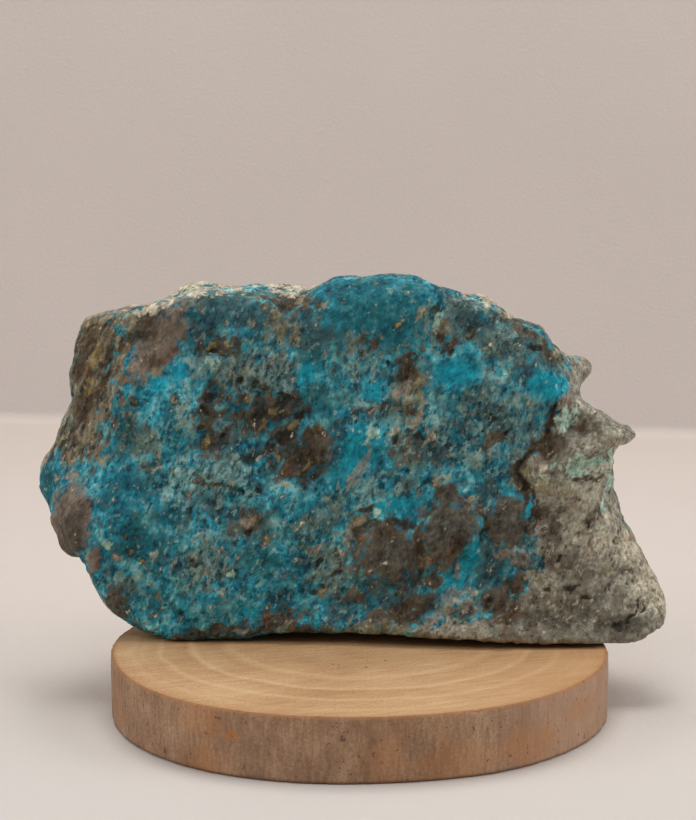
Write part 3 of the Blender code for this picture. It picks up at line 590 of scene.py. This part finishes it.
# Lines of the same kind: corners along the line, then its half width.
seams = {
    "umber": [
        # this umber line runs along the step where the blue stands proud of the grey rock: a painted shadow
        # of that step
        ([(31.3, 38.5), (29.6, 32.2), (27.3, 30.5), (24.6, 27.3), (26.5, 23.8), (27.4, 18)], 0.75),
        ([(33.7, 26), (38.2, 26.2)], 0.35),
        ([(-0.6, 17.6), (2.4, 19.4), (6.4, 19), (9.6, 18.2)], 0.6),
        ([(9.4, 10), (10.3, 14), (9.6, 18), (11.4, 21.2)], 0.45),
        ([(18.6, 15.4), (20.2, 18.6), (19, 21.4)], 0.45),
    ],
    "cream": [
        ([(-34.6, 51.9), (-31, 53.1), (-27.6, 54.7), (-23.5, 55.5), (-16, 56.3), (-8.5, 55.4)], 0.55),
    ],
    "murky": [
        ([(-28, 53.8), (-22, 54.8), (-14, 55.4), (-8, 54.6)], 1.5),
        ([(15, 54.2), (20, 52.4), (25.5, 49.4), (29.4, 46), (31.6, 43.8)], 1.8),
    ],
    "dusk": [
        ([(22.5, 52), (27.5, 48.4), (31.2, 44.6)], 0.8),
    ],
    "tan": [
        ([(-42.8, 50.3), (-38.4, 51.4), (-34.6, 52)], 0.45),
    ],
    "black": [
        # these two black lines run along the same step: painted shadow
        ([(31, 37.6), (29.8, 33)], 0.35),
        ([(27, 30.2), (24.9, 27.2), (26.2, 24.6)], 0.35),
        ([(45.1, 8.1), (44, 5.2), (42.8, 3.5)], 0.22),
        ([(46, 7.4), (45, 4.8)], 0.18),
    ],
}

# Wide regions of one finish, as their corners and then how far their edge fades, in millimetres: the grey
# rock that takes the place of the blue on the right, a brown fibrous strip along the left side, and the pale
# lower right corner.
regions = {
    "host": ([
        (32.6, 45.5), (32.9, 41.6), (31.8, 38.6), (30.2, 34.5), (29.2, 31.2), (25.6, 28.4), (25.2, 25.6),
        (27.4, 22), (27.8, 16), (29.2, 12.6), (27.2, 8.6), (23.6, 6.6), (20.6, 3.6), (11, 2.6), (9, -3),
        (60, -3), (60, 45.5),
    ], 3),
    "strip": ([
        (-46, 54), (-37.8, 53.5), (-36.4, 49.5), (-36, 43), (-37.6, 38), (-39.4, 34), (-40.4, 28.6),
        (-44.5, 28), (-50.5, 31), (-48, 38), (-48, 46),
    ], 6.5),
    "cream": ([
        (41.5, 20), (43.8, 17.5), (48.4, 11), (50.5, 6.5), (49.6, 3), (47.2, 4), (46.4, 8), (43.4, 12),
        (41, 16),
    ], 4),
}

# Lumps and hollows: place, height, half length, half width, tilt, and how far they stand out in millimetres.
lumps = [
    (4.9, 14.2, 5.6, 4.8, 0, 1), (14.3, 17.2, 5.6, 4.8, 60, 1.1), (10, 14.5, 4, 0.9, 85, -0.7),
    (13.8, 23.4, 2.4, 1.9, 90, 0.5), (22.8, 19.2, 3.6, 2.8, 80, 0.5), (-31, 47.5, 7.6, 3.6, 58, 0.5),
    (-29.6, 45, 4.6, 0.8, 52, -0.5), (-44.8, 19.3, 6.6, 3.4, 82, 0.8), (-12.5, 33, 8, 6.2, 80, -1.2),
    (-10.4, 30.4, 3.2, 3, 0, 0.7), (0.3, 30, 5, 2.1, 55, -0.7), (-0.6, 26.4, 4.6, 0.9, 55, 0.5),
    (8.5, 39.5, 4.6, 2.8, 70, -0.4), (7.4, 38.6, 1.6, 1.1, 60, 0.6), (13.5, 50.8, 3.2, 3, 0, -0.6),
    (30.2, 41.2, 3, 2.7, -40, 0.3), (29, 25.2, 4.4, 1.6, -8, 0.7), (25, 13.7, 3, 1.4, -15, 0.4),
    (15.3, 6.8, 2.8, 2, -10, 0.5), (17, 12, 5, 1.5, 68, -0.5), (-21.4, 46.8, 2.6, 1.9, 0, -0.7),
    (-22.6, 31.7, 2.6, 2.2, 0, -0.6), (-36.4, 24, 5, 3.2, 70, 0.4), (-27, 15, 6, 4, 10, 0.4),
    (-38.5, 6, 3, 2, 75, -0.4), (20, 30, 4, 3, 30, 0.4), (-2.5, 11, 3.4, 2.6, 0, 0.3),
    (-10.8, 53.6, 4, 1.6, 0, -0.5), (34, 13, 6, 4, -30, 0.4), (38, 21, 3, 4.5, 0, -0.3),
]

# Small dark-ringed grains: place, height and radius.
ringed = [
    (-28.5, 38.5, 0.75), (-35, 38.2, 0.65), (-39.1, 15.8, 0.6), (-36.2, 17, 0.6), (-37.7, 13.9, 0.7),
    (-35.6, 14.3, 0.6), (-34, 12.9, 0.65), (-26.9, 23.6, 0.8), (-25.5, 12.5, 0.5), (-14.5, 15.6, 0.8),
    (-31.1, 7.1, 0.6), (-19.6, 10.9, 0.8), (12.3, 25.3, 0.9), (-5.6, 8.2, 0.8), (6.2, 49.6, 0.7),
    (17.5, 49, 0.9), (40.7, 16.4, 0.6), (42.9, 16.2, 0.5),
]

# Busier and calmer zones of the fine specks: an ellipse as for the lumps, and how much it adds.
busyZones = [
    (-14.6, 42, 6, 4, 0, 0.5), (-23, 25, 8, 5, 10, 0.35), (-24, 12, 5, 4, 0, 0.35), (-2, 12, 7, 6, 0, 0.3),
    (19, 32, 7, 6, 30, 0.3), (8, 35, 5, 6, 60, 0.3), (1.5, 45.8, 4, 3.5, 0, 0.3),
    (3.5, 52.5, 11, 5, 0, -0.4), (-31, 47.5, 7.2, 3.4, 58, -0.6), (-44.8, 19.3, 6.2, 3.2, 82, -0.5),
    (0.3, 30, 5, 2, 55, -0.7), (30.2, 41.2, 3.2, 2.9, -40, -0.7), (14.3, 17.2, 5.6, 4.8, 60, -0.35),
    (4.9, 14.2, 5.6, 4.8, 0, -0.3), (16.5, 12, 5.5, 2.6, 65, -0.6), (25, 13.7, 3, 1.4, -15, -0.5),
    (15.5, 42.7, 4, 2.6, 0, -0.4), (-35, 22, 5, 7, 0, -0.1), (-32, 36, 5, 4, 0, 0.15),
    (-12, 51, 8, 4, 0, 0.1), (36, 15, 9, 10, 0, 0.1),
]


def stoneShape():
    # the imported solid's own skin, made into an even fine one
    settings = stoneSettings
    bm = bmesh.new()
    bm.from_mesh(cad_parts["turquoise_stone"].data)
    bmesh.ops.remove_doubles(bm, verts=bm.verts, dist=1e-6)
    mesh = bpy.data.meshes.new("roughTurquoise")
    bm.to_mesh(mesh)
    bm.free()
    stone = bpy.data.objects.new("roughTurquoise", mesh)
    bpy.context.scene.collection.objects.link(stone)
    remesh = stone.modifiers.new("even", "REMESH")
    remesh.mode = "VOXEL"
    remesh.voxel_size = settings["voxel"] * mm
    smooth = stone.modifiers.new("soften", "SMOOTH")
    smooth.factor = 0.5
    smooth.iterations = 2
    even = bpy.data.meshes.new_from_object(stone.evaluated_get(bpy.context.evaluated_depsgraph_get()))
    stone.modifiers.clear()

    bm = bmesh.new()
    bm.from_mesh(even)
    toCamera = Vector((0, -math.cos(math.radians(10)), math.sin(math.radians(10))))
    front = [face for face in bm.faces if face.normal.dot(toCamera) > settings["frontAbove"]]
    edges = list({edge for face in front for edge in face.edges})
    bmesh.ops.subdivide_edges(bm, edges=edges, cuts=1, use_grid_fill=True)
    bmesh.ops.triangulate(bm, faces=[face for face in bm.faces if len(face.verts) > 4])
    bm.to_mesh(mesh)
    bm.free()
    mesh.materials.clear()
    mesh.shade_smooth()
    return stone


def pointsOf(mesh):
    points = np.zeros(len(mesh.vertices) * 3)
    mesh.vertices.foreach_get("co", points)
    normals = np.zeros(len(mesh.vertices) * 3)
    mesh.vertex_normals.foreach_get("vector", normals)
    return points.reshape(-1, 3) / mm, normals.reshape(-1, 3)


def seenOnFace(points):
    # where the line of sight from the camera to each point crosses the blue face
    settings = stoneSettings
    eye = np.array(cameraSettings["place"]) / mm
    lean = math.radians(settings["faceLean"])
    across = np.array([0.0, math.cos(lean), -math.sin(lean)])
    onFace = np.array([0.0, settings["faceY"], settings["footZ"]])
    sight = points - eye
    reach = ((onFace - eye) @ across) / (sight @ across)
    crossing = eye + sight * reach[:, None]
    return np.stack([crossing[:, 0], crossing[:, 2] - settings["footZ"]], axis=1)


def spotField(seen, x, h, halfLong, halfWide, tilt=0):
    # 1 in the middle of an ellipse, 0.5 on its edge, 0 at twice its size
    turn = math.radians(tilt)
    offset = seen - (x, h)
    along = offset[:, 0] * math.cos(turn) + offset[:, 1] * math.sin(turn)
    over = -offset[:, 0] * math.sin(turn) + offset[:, 1] * math.cos(turn)
    return np.clip(1 - 0.5 * np.hypot(along / halfLong, over / halfWide), 0, 1)


def distanceToLine(seen, corners):
    nearest = np.full(len(seen), 1e9)
    for first, second in zip(corners[:-1], corners[1:]):
        first = np.array(first, float)
        side = np.array(second, float) - first
        part = np.clip(((seen - first) @ side) / (side @ side), 0, 1)
        nearest = np.minimum(nearest, np.linalg.norm(seen - first - part[:, None] * side, axis=1))
    return nearest


def lineField(seen, corners, halfWidth):
    return np.clip(1 - 0.5 * distanceToLine(seen, corners) / halfWidth, 0, 1)


def regionField(seen, corners, softness):
    inside = np.zeros(len(seen), bool)
    for (x0, h0), (x1, h1) in zip(corners, corners[1:] + corners[:1]):
        crosses = (h0 > seen[:, 1]) != (h1 > seen[:, 1])
        slope = (seen[:, 1] - h0) / (h1 - h0 if h1 != h0 else 1e-9)
        inside ^= crosses & (seen[:, 0] < x0 + slope * (x1 - x0))
    gap = distanceToLine(seen, corners + corners[:1])
    return np.clip(0.5 + np.where(inside, gap, -gap) / softness, 0, 1)


def step(value, start, end):
    part = np.clip((value - start) / (end - start), 0, 1)
    return part * part * (3 - 2 * part)


def between(value, rise, fall):
    return step(value, *rise) * (1 - step(value, *fall))


def cloud(points, size, octaves, shift):
    return np.array([noise.fractal(Vector(p), 1.0, 2.0, octaves) for p in points / size + shift])


def cellDepth(points, size, shift):
    return np.array([noise.voronoi(Vector(p))[0][0] for p in points / size + shift])


def stoneFields(points, normals):
    settings = stoneSettings
    seen = seenOnFace(points)
    along = seen[:, 0].copy()
    # the patches' outlines wander a little
    for size, amount, shift in settings["wander"]:
        bend = [cloud(points, size, 2, shift), cloud(points, size, 2, shift + 41.0)]
        seen = seen + amount * np.stack(bend, axis=1)
    frontness = step(-normals[:, 1], 0.02, 0.3)
    fields = {name: np.zeros(len(points)) for name in (*broadFinishes, *smallFinishes)}

    def grow(name, field):
        fields[name] = np.maximum(fields[name], field)

    def clouded(middle, spread, size, octaves, shift):
        return np.clip(middle + spread * cloud(points, size, octaves, shift), 0, 1)

    for name, places in spots.items():
        for place in places:
            grow(name, spotField(seen, *place))
    for name, lines in seams.items():
        for line in lines:
            grow(name, lineField(seen, *line))
    for x, h, radius in ringed:
        grow("black", 0.95 * spotField(seen, x, h, radius, radius))
        grow("tan", 0.95 * spotField(seen, x, h, 0.55 * radius, 0.5 * radius))
    for name, region in regions.items():
        grow(name, regionField(seen, *region))
    for name in fields:
        fields[name] = fields[name] * frontness

    # the sides, top and back: grey rock with patches of the blue
    hidden = 1 - frontness
    rim = step(normals[:, 2], *settings["topFacing"])
    for name, (size, middle, spread, shift) in settings["hidden"].items():
        grow(name, hidden * clouded(middle, spread, size, 3, shift))
    # a pale crust on the top's left half and a flake of it on the right, thinner behind the front edge
    astray = along + 3.0 * cloud(points, 4.0, 3, 27.0)
    crusted = rim * between(astray, settings["crustStart"], settings["crustEnd"])
    flake = step(normals[:, 2], 0.2, 0.6) * between(astray, settings["flakeStart"], settings["flakeEnd"])
    back = points[:, 1] + 7.0 * cloud(points, 6.0, 3, 33.0)
    crusted = hidden * np.maximum(crusted, flake) * (1 - step(back, *settings["crustBack"]))
    grow("host", crusted * 0.9)
    grow("cream", crusted * clouded(0.76, 0.5, 3.0, 4, 8.1))
    grow("mint", crusted * clouded(0.2, 0.6, 2.0, 3, 12.0))
    # the blue goes on over the crown
    crown = hidden * rim * between(along, settings["crownStart"], settings["crownEnd"])
    crown = crown * (1 - step(points[:, 1], *settings["crownBack"]))
    fields["host"] = fields["host"] * (1 - crown)
    grow("teal", crown * 0.8)
    brownRim = hidden * rim * (1 - step(along, *settings["brownRimEnd"]))
    grow("tan", brownRim * clouded(0.52, 0.5, 2.0, 3, 15.0))

    busy = np.full(len(points), 0.5)
    for *ellipse, more in busyZones:
        busy += more * frontness * step(spotField(seen, *ellipse), 0.35, 0.6)
    fields["busy"] = np.clip(busy, 0, 1)
    return fields, seen, frontness


def reliefOf(points, fields, seen, frontness):
    settings = stoneSettings
    calm = np.zeros(len(points))
    raised = np.zeros(len(points))
    for name, (*others, relief, calming) in {**broadFinishes, **smallFinishes}.items():
        here = step(fields[name], 0.4, 0.6)
        calm = np.maximum(calm, calming * here)
        raised += relief * here
    for *ellipse, height in lumps:
        raised += height * frontness * step(spotField(seen, *ellipse), 0.3, 0.85)
    rough = (1 - calm) * (0.75 + 0.35 * cloud(points, 12.0, 2, 3.3))
    lumpy = settings["lumpHeight"] * cloud(points, settings["lumpSize"], 4, 11.0)
    lumpy += (1 - frontness) * settings["backLumpHeight"] * cloud(points, settings["backLumpSize"], 4, 47.0)
    grainy = settings["grainHeight"] * (0.45 - cellDepth(points, settings["grainSize"], 2.0))
    crumbs = settings["crumbHeight"] * cloud(points, settings["crumbSize"], 2, 71.0)
    fine = rough * (grainy + crumbs)
    return raised + lumpy + fine + settings["outward"], fine + 0.6 * lumpy


def roughenStone(stone):
    mesh = stone.data
    margin = stoneSettings["boxMargin"]
    points, normals = pointsOf(mesh)
    fields, seen, frontness = stoneFields(points, normals)
    relief, fine = reliefOf(points, fields, seen, frontness)
    points = points + normals * relief[:, None]
    low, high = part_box("turquoise_stone")
    points = np.clip(points, np.array(low) / mm + margin, np.array(high) / mm - margin)
    mesh.vertices.foreach_set("co", (points * mm).astype(np.float32).ravel())
    # how low each point lies in the fine relief, which the stone's shader turns into painted shade in the
    # hollows and painted light on the tops
    fields["hollow"] = np.clip(0.5 + fine * 1.6, 0, 1)
    for name, values in fields.items():
        layer = mesh.attributes.new(name, "FLOAT", "POINT")
        layer.data.foreach_set("value", values.astype(np.float32))
    mesh.update()


def stoneMaterial():
    settings = stoneSettings
    material, graph, shader = newMaterial("turquoiseInRock", settings["lift"])

    def moved(amount):
        return graph.vector("ADD", graph.place, (amount, amount * 0.7, -amount))

    def drawn(size, stretch, contrast, shift=0.0):
        inputs = {"Along": settings["grainAlong"], "Size": size, "Stretch": stretch, "Contrast": contrast}
        return graph.use(streaks, Vector=moved(shift) if shift else graph.place, **inputs)

    broad = graph.texture(mottle, Size=5.5, Contrast=2.6, Detail=3.0)
    mid = drawn(1.8, 1.3, 2.6)
    fine = drawn(0.85, 1.4, 2.4, 17.0)
    fibre = drawn(0.44, 1.7, 2.5, 31.0)
    wobble = graph.weigh((fine, 0.3), (drawn(1.5, 1.4, 2.2, 53.0), 0.5), (fibre, 0.2))
    busy = graph.read("busy")
    tone = graph.weigh((broad, 0.28), (mid, 0.36), (fine, 0.24), (fibre, 0.12))
    colour = graph.ramp(tone, [
        (0.28, (20, 65, 77)),
        (0.42, (28, 96, 112)),
        (0.52, (38, 118, 133)),
        (0.62, (60, 138, 148)),
        (0.76, (114, 163, 163)),
    ])
    # faint greenish and brownish clouds in the blue
    green = graph.fade(graph.texture(mottle, Vector=moved(71.0), Size=3.0, Contrast=3.0), 0.55, 0.9)
    brown = graph.fade(graph.texture(mottle, Vector=moved(97.0), Size=1.8, Contrast=3.0), 0.62, 0.95)
    colour = graph.mix(graph.times(green, 0.4), colour, (74, 104, 88))
    colour = graph.mix(graph.times(brown, 0.3), colour, (82, 76, 62))
    grit = graph.scaled(graph.weigh((fine, 0.35), (fibre, 0.25), (mid, 0.4)), 1.3, -0.15, clamp=True)
    # the brown strip is drawn out along the grain far more than the rest
    streaky = graph.weigh((fine, 0.25), (drawn(0.75, 4.0, 3.6, 211.0), 0.75))

    def lay(colour, name, finish):
        dark, light, ragged, soft, cover = finish[:5]
        mask = graph.use(patch, Field=graph.read(name), Wobble=wobble, Ragged=ragged, Softness=soft)
        own = graph.mix(streaky if name == "strip" else grit, dark, light)
        return graph.mix(graph.times(mask, cover), colour, own), mask

    masks = {}
    for name, finish in broadFinishes.items():
        colour, masks[name] = lay(colour, name, finish)

    brownish = graph.most(masks["knob"], masks["umber"], masks["greyBrown"])
    stony = graph.most(masks["host"], masks["strip"], brownish)
    unfilled = graph.scaled(brownish, -0.85, 1.0)

    # loose specks of pale, dark and tan mineral: more of them where busy is high, few in the brown parts
    def sprinkle(colour, size, stretch, start, shift, share, shade):
        level = graph.scaled(busy, -0.3, start)
        mask = graph.fade(drawn(size, stretch, 2.0, shift), level, graph.calc("ADD", level, 0.13))
        mask = graph.times(graph.times(mask, share), unfilled)
        return graph.mix(mask, colour, shade), mask

    paleShade = graph.mix(stony, (124, 148, 140), (158, 148, 130))
    darkShade = graph.mix(stony, (18, 38, 44), (72, 65, 54))
    colour = sprinkle(colour, 1.0, 1.5, 0.85, 131.0, 0.5, paleShade)[0]
    colour, darkMask = sprinkle(colour, 0.8, 1.9, 0.86, 151.0, 0.45, darkShade)
    colour, tanMask = sprinkle(colour, 0.9, 1.4, 0.95, 173.0, 0.4, (116, 110, 88))
    colour, blackMask = sprinkle(colour, 0.85, 1.8, 0.94, 191.0, 0.65, (30, 27, 23))
    for name, finish in smallFinishes.items():
        colour = lay(colour, name, finish)[0]

    # painted shade darkens the hollows of the fine relief, and painted light brightens the tops of the grains
    paintedShadeAndLight = graph.fade(graph.read("hollow"), 0.0, 1.0, 0.7, 1.25, kind="LINEAR")
    speckled = graph.scaled(fibre, 0.3, graph.scaled(fine, 0.24, 0.73))
    # the lens, the knobs and the bright blue are smoother than the rest
    quietBlue = graph.times(masks["brightBlue"], 0.5)
    quiet = graph.times(graph.most(masks["greyBrown"], graph.times(masks["knob"], 0.2), quietBlue), 0.7)
    colour = graph.shade(colour, graph.times(paintedShadeAndLight, graph.mixValues(quiet, speckled, 1.0)))
    graph.link(colour, shader.inputs["Base Color"])

    smoothness = graph.most(masks["brightBlue"], graph.times(masks["teal"], 0.5))
    roughness = graph.scaled(fine, 0.16, graph.scaled(smoothness, -0.2, 0.7))
    graph.link(roughness, shader.inputs["Roughness"])
    shader.inputs["Specular IOR Level"].default_value = 0.14
    height = graph.weigh((fibre, 0.6), (fine, 0.8), (darkMask, -0.6), (blackMask, -1.0), (tanMask, 0.4))
    graph.bump(shader, height, 0.9, 0.00022)
    return material


stone = stoneShape()
roughenStone(stone)
stone.data.materials.append(stoneMaterial())
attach(stone, root)
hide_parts("turquoise_stone")
triangles = sum(len(polygon.vertices) - 2 for polygon in stone.data.polygons)
print("stone:", len(stone.data.vertices), "points,", triangles, "triangles")


# The slice of branch under the stone.
woodSettings = {
    "columns": 420,
    "rows": 46,  # from the pith to the edge
    "levels": 26,
    "underRows": 14,
    "pith": (0.3, 6.0),
    "inset": 0.03,  # keeps the skin inside the solid
    "edgeFrom": (9.0, 10.0),  # the nick fades in over these heights of the bark
    "lift": 1.05,
    "barkRidge": 0.12,
    "barkLump": 0.10,
    "sawDepth": 0.04,
    "nick": (17.4, -32.3, 1.6, 0.5),  # place, radius and depth
    # small dark specks in the end grain: place and radius
    "specks": [(4.3, -5.7, 0.4), (-3.8, -7.9, 0.3), (-2.9, -8.3, 0.25), (1.3, -9.6, 0.4), (-4.5, -8.8, 0.25)],
    # orange stains on the bark's front: x, height, radius and strength
    "stains": [
        (-18.2, 6.2, 1.4, 0.8), (24.5, 3.3, 5.0, 0.35), (-22.0, 7.3, 4.0, 0.3), (12.5, 2.6, 5.5, 0.3),
        (-22.5, 1.8, 4.0, 0.25), (33.0, 6.0, 3.0, 0.25), (3.0, 4.5, 3.0, 0.2),
    ],
}

# Ring radius in millimetres from the pith, and how pale it is from 0 to 1.
ringTones = [
    (0, 0.35), (2, 0.45), (5, 0.5), (8, 0.44), (11, 0.53), (14, 0.46), (17, 0.5), (19.4, 0.5), (20.4, 0.78),
    (21.4, 0.58), (22.4, 0.36), (23.6, 0.46), (25.5, 0.5), (26.4, 0.9), (27.2, 0.3), (28.6, 0.42),
    (30.1, 0.46), (30.9, 0.86), (31.6, 0.5), (32.8, 0.48), (33.5, 0.6), (34.1, 0.46), (34.9, 0.66),
    (36.2, 0.5), (37.5, 0.42), (38.6, 0.32), (41, 0.2),
]


def woodShape():
    settings = woodSettings
    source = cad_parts["wood_slice"].data
    solid = BVHTree.FromPolygons([v.co for v in source.vertices], [list(p.vertices) for p in source.polygons])
    count = settings["columns"]
    inset = settings["inset"]
    turns = np.linspace(0, 2 * math.pi, count, endpoint=False)
    spread = np.stack([np.cos(turns), np.sin(turns)], axis=1)
    low, high = (np.array(corner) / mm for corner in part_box("wood_slice"))
    pith = np.array(settings["pith"])

    def outline(z):
        start = Vector((pith[0] * mm, pith[1] * mm, z * mm))
        hits = [solid.ray_cast(start, Vector((across, back, 0))) for across, back in spread]
        return np.array([hit[3] / mm for hit in hits]) - inset

    def nickDepth(place):
        x, y, radius, depth = settings["nick"]
        return depth * np.clip(1 - np.hypot(place[:, 0] - x, place[:, 1] - y) / radius, 0, 1)

    evenly = np.linspace(0.7, 9.3, settings["levels"] - 6)
    levels = np.concatenate([[0.03, 0.15, 0.35], evenly, [9.65, 9.85, 9.97]])
    outlines = [outline(z) for z in levels]
    topRim = outlines[-1]
    points, rings, barks = [], [], []

    def addRing(radii, heights, bark):
        points.extend(np.column_stack([pith + spread * radii[:, None], heights]))
        share = radii / topRim
        # near the bark the rings follow the outline, near the pith they are round
        blend = share ** 2
        rings.extend(radii * (1 - blend) + blend * share * topRim.mean())
        barks.extend(np.full(count, bark))

    # the top from the pith out, down the bark, and under to the middle again
    for row in range(1, settings["rows"] + 1):
        radii = topRim * (row / settings["rows"]) ** 0.8 * 0.995
        place = pith + spread * radii[:, None]
        saw = np.array([noise.noise(Vector((x * 0.15, y * 1.1, 4.0))) for x, y in place])
        addRing(radii, high[2] - inset - settings["sawDepth"] * (0.5 + saw) - nickDepth(place), 0.0)
    for z, radii in zip(levels[::-1], outlines[::-1]):
        place = pith + spread * radii[:, None]
        ridge = np.array([noise.fractal(Vector((x * 0.9, y * 0.9, z * 0.10)), 1.0, 2.0, 3) for x, y in place])
        lump = np.array([noise.fractal(Vector((x * 0.25, y * 0.25, z * 0.2)), 1.0, 2.0, 2) for x, y in place])
        inward = settings["barkRidge"] * (0.5 + ridge) + settings["barkLump"] * (0.5 + lump)
        nick = step(z, *settings["edgeFrom"]) * nickDepth(place)
        addRing(radii - np.clip(inward + nick, 0, 1), z - 0.5 * nick, 1.0)
    under = low[2] + 0.01
    for row in range(settings["underRows"]):
        part = 1 - (row + 0.15) / settings["underRows"]
        addRing(outlines[0] * part, np.full(count, under), 0.0)

    total = len(points) // count
    columns = [(column, (column + 1) % count) for column in range(count)]
    faces = []
    for ring in range(total - 1):
        here = ring * count
        below = here + count
        for column, after in columns:
            faces.append((here + column, below + column, below + after, here + after))
    for ring, z in ((0, points[0][2]), (total - 1, under)):
        middle = len(points)
        points.append((*pith, z))
        rings.append(0.0)
        barks.append(0.0)
        for column, after in columns:
            pair = (ring * count + column, ring * count + after)
            faces.append((middle, *pair) if ring == 0 else (middle, *pair[::-1]))
    points = np.clip(np.array(points), low + 0.005, high - 0.005)
    mesh = bpy.data.meshes.new("branchSlice")
    mesh.from_pydata((points * mm).tolist(), [], faces)
    mesh.shade_smooth()
    for name, values in (("ring", rings), ("bark", barks)):
        layer = mesh.attributes.new(name, "FLOAT", "POINT")
        layer.data.foreach_set("value", np.array(values, np.float32))
    # the sawn edge stays crisp
    edgeRings = {settings["rows"] - 1, settings["rows"], settings["rows"] + len(levels) - 1}
    sharp = mesh.attributes.new("sharp_edge", "BOOLEAN", "EDGE")
    for edge in mesh.edges:
        first, second = (vertex // count for vertex in edge.vertices)
        if first == second and first in edgeRings:
            sharp.data[edge.index].value = True
    piece = bpy.data.objects.new("branchSlice", mesh)
    bpy.context.scene.collection.objects.link(piece)
    return piece


def sawnGrain(graph, ring, axes, sawn, pores):
    widest = ringTones[-1][0]
    waver = graph.scaled(graph.texture(mottle, Size=9.0, Contrast=2.0, Detail=3.0), 1.2, -0.6)
    radius = graph.calc("DIVIDE", graph.calc("ADD", ring, waver), widest, clamp=True)
    pale = graph.ramp(radius, [(place / widest, (tone, tone, tone, 1)) for place, tone in ringTones])
    blot = graph.texture(mottle, Size=14.0, Contrast=1.8, Detail=2.0)
    grain = graph.ramp(graph.weigh((blot, 0.24), (pale, 0.42), (sawn, 0.2), (pores, 0.2)), [
        (0.25, (154, 112, 74)),
        (0.45, (176, 136, 96)),
        (0.6, (190, 152, 111)),
        (0.85, (206, 172, 132)),
    ])
    # one side of the sawn face is a little darker, and so is its edge
    grain = graph.mix(graph.fade(axes["X"], 4.0, 34.0, 0.0, 0.4), grain, (172, 128, 84))
    grain = graph.mix(graph.times(graph.fade(ring, 36.9, 38.0), 0.7), grain, (166, 110, 58))
    for x, y, radius in woodSettings["specks"]:
        gap = graph.vector("DISTANCE", graph.place, (x, y, 10.0))
        grain = graph.mix(graph.fade(gap, radius, radius * 0.4, 0.0, 0.8), grain, (84, 58, 40))
    return grain


def thinBark(graph, axes, upright, pores):
    up = (0.0, 0.0, 1.0)
    patchy = graph.texture(streaks, Along=up, Size=5.0, Stretch=1.6, Contrast=2.2)
    skin = graph.ramp(graph.weigh((patchy, 0.42), (upright, 0.28), (pores, 0.3)), [
        (0.25, (130, 101, 78)),
        (0.5, (154, 120, 93)),
        (0.75, (176, 142, 113)),
    ])
    # the bark is painted paler towards one side, as painted light falling on that side
    skin = graph.mix(graph.fade(axes["X"], 12.0, 34.0, 0.0, 0.5), skin, (182, 148, 124))
    warm = graph.fade(graph.texture(mottle, Size=9.0, Contrast=2.6, Detail=3.0), 0.55, 1.0)
    skin = graph.mix(graph.times(warm, 0.3), skin, (162, 108, 62))
    flat = graph.vector("MULTIPLY", graph.place, (1.0, 0.0, 1.6))
    front = graph.fade(axes["Y"], -4.0, -14.0)
    for x, z, radius, strength in woodSettings["stains"]:
        ragged = graph.scaled(patchy, -0.6 * radius, graph.vector("DISTANCE", flat, (x, 0.0, 1.6 * z)))
        stain = graph.times(graph.fade(ragged, radius, 0.1 * radius, 0.0, strength), front)
        skin = graph.mix(stain, skin, (176, 112, 54))
    skin = graph.mix(graph.times(graph.texture(specks, Size=0.9, Amount=0.3), 0.7), skin, (82, 58, 48))
    # a thin brown line under the sawn edge, and along the foot a darker band that is partly the bark's own
    # reddish-brown rim and partly painted shade where the slice meets the floor
    skin = graph.mix(graph.fade(axes["Z"], 9.3, 9.9, 0.0, 0.6), skin, (150, 98, 52))
    return graph.mix(graph.fade(axes["Z"], 0.7, 0.1, 0.0, 0.5), skin, (110, 72, 52))


def woodMaterial():
    material, graph, shader = newMaterial("paleWood", woodSettings["lift"])
    bark = graph.read("bark")
    axes = graph.axes()
    sawn = graph.texture(streaks, Along=(0.94, 0.34, 0.0), Size=0.6, Stretch=9.0, Contrast=2.2)
    upright = graph.texture(streaks, Along=(0.0, 0.0, 1.0), Size=0.5, Stretch=5.0, Contrast=2.2)
    pores = graph.texture(mottle, Size=0.45, Contrast=2.2, Detail=2.0)
    grain = sawnGrain(graph, graph.read("ring"), axes, sawn, pores)
    skin = thinBark(graph, axes, upright, pores)
    graph.link(graph.mix(bark, grain, skin), shader.inputs["Base Color"])
    shader.inputs["Roughness"].default_value = 0.72
    shader.inputs["Specular IOR Level"].default_value = 0.3
    graph.bump(shader, graph.scaled(pores, 0.4, graph.mixValues(bark, sawn, upright)), 0.6, 0.00012)
    return material


wood = woodShape()
wood.data.materials.append(woodMaterial())
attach(wood, root)
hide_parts("wood_slice")
print("wood:", len(wood.data.vertices), "points")
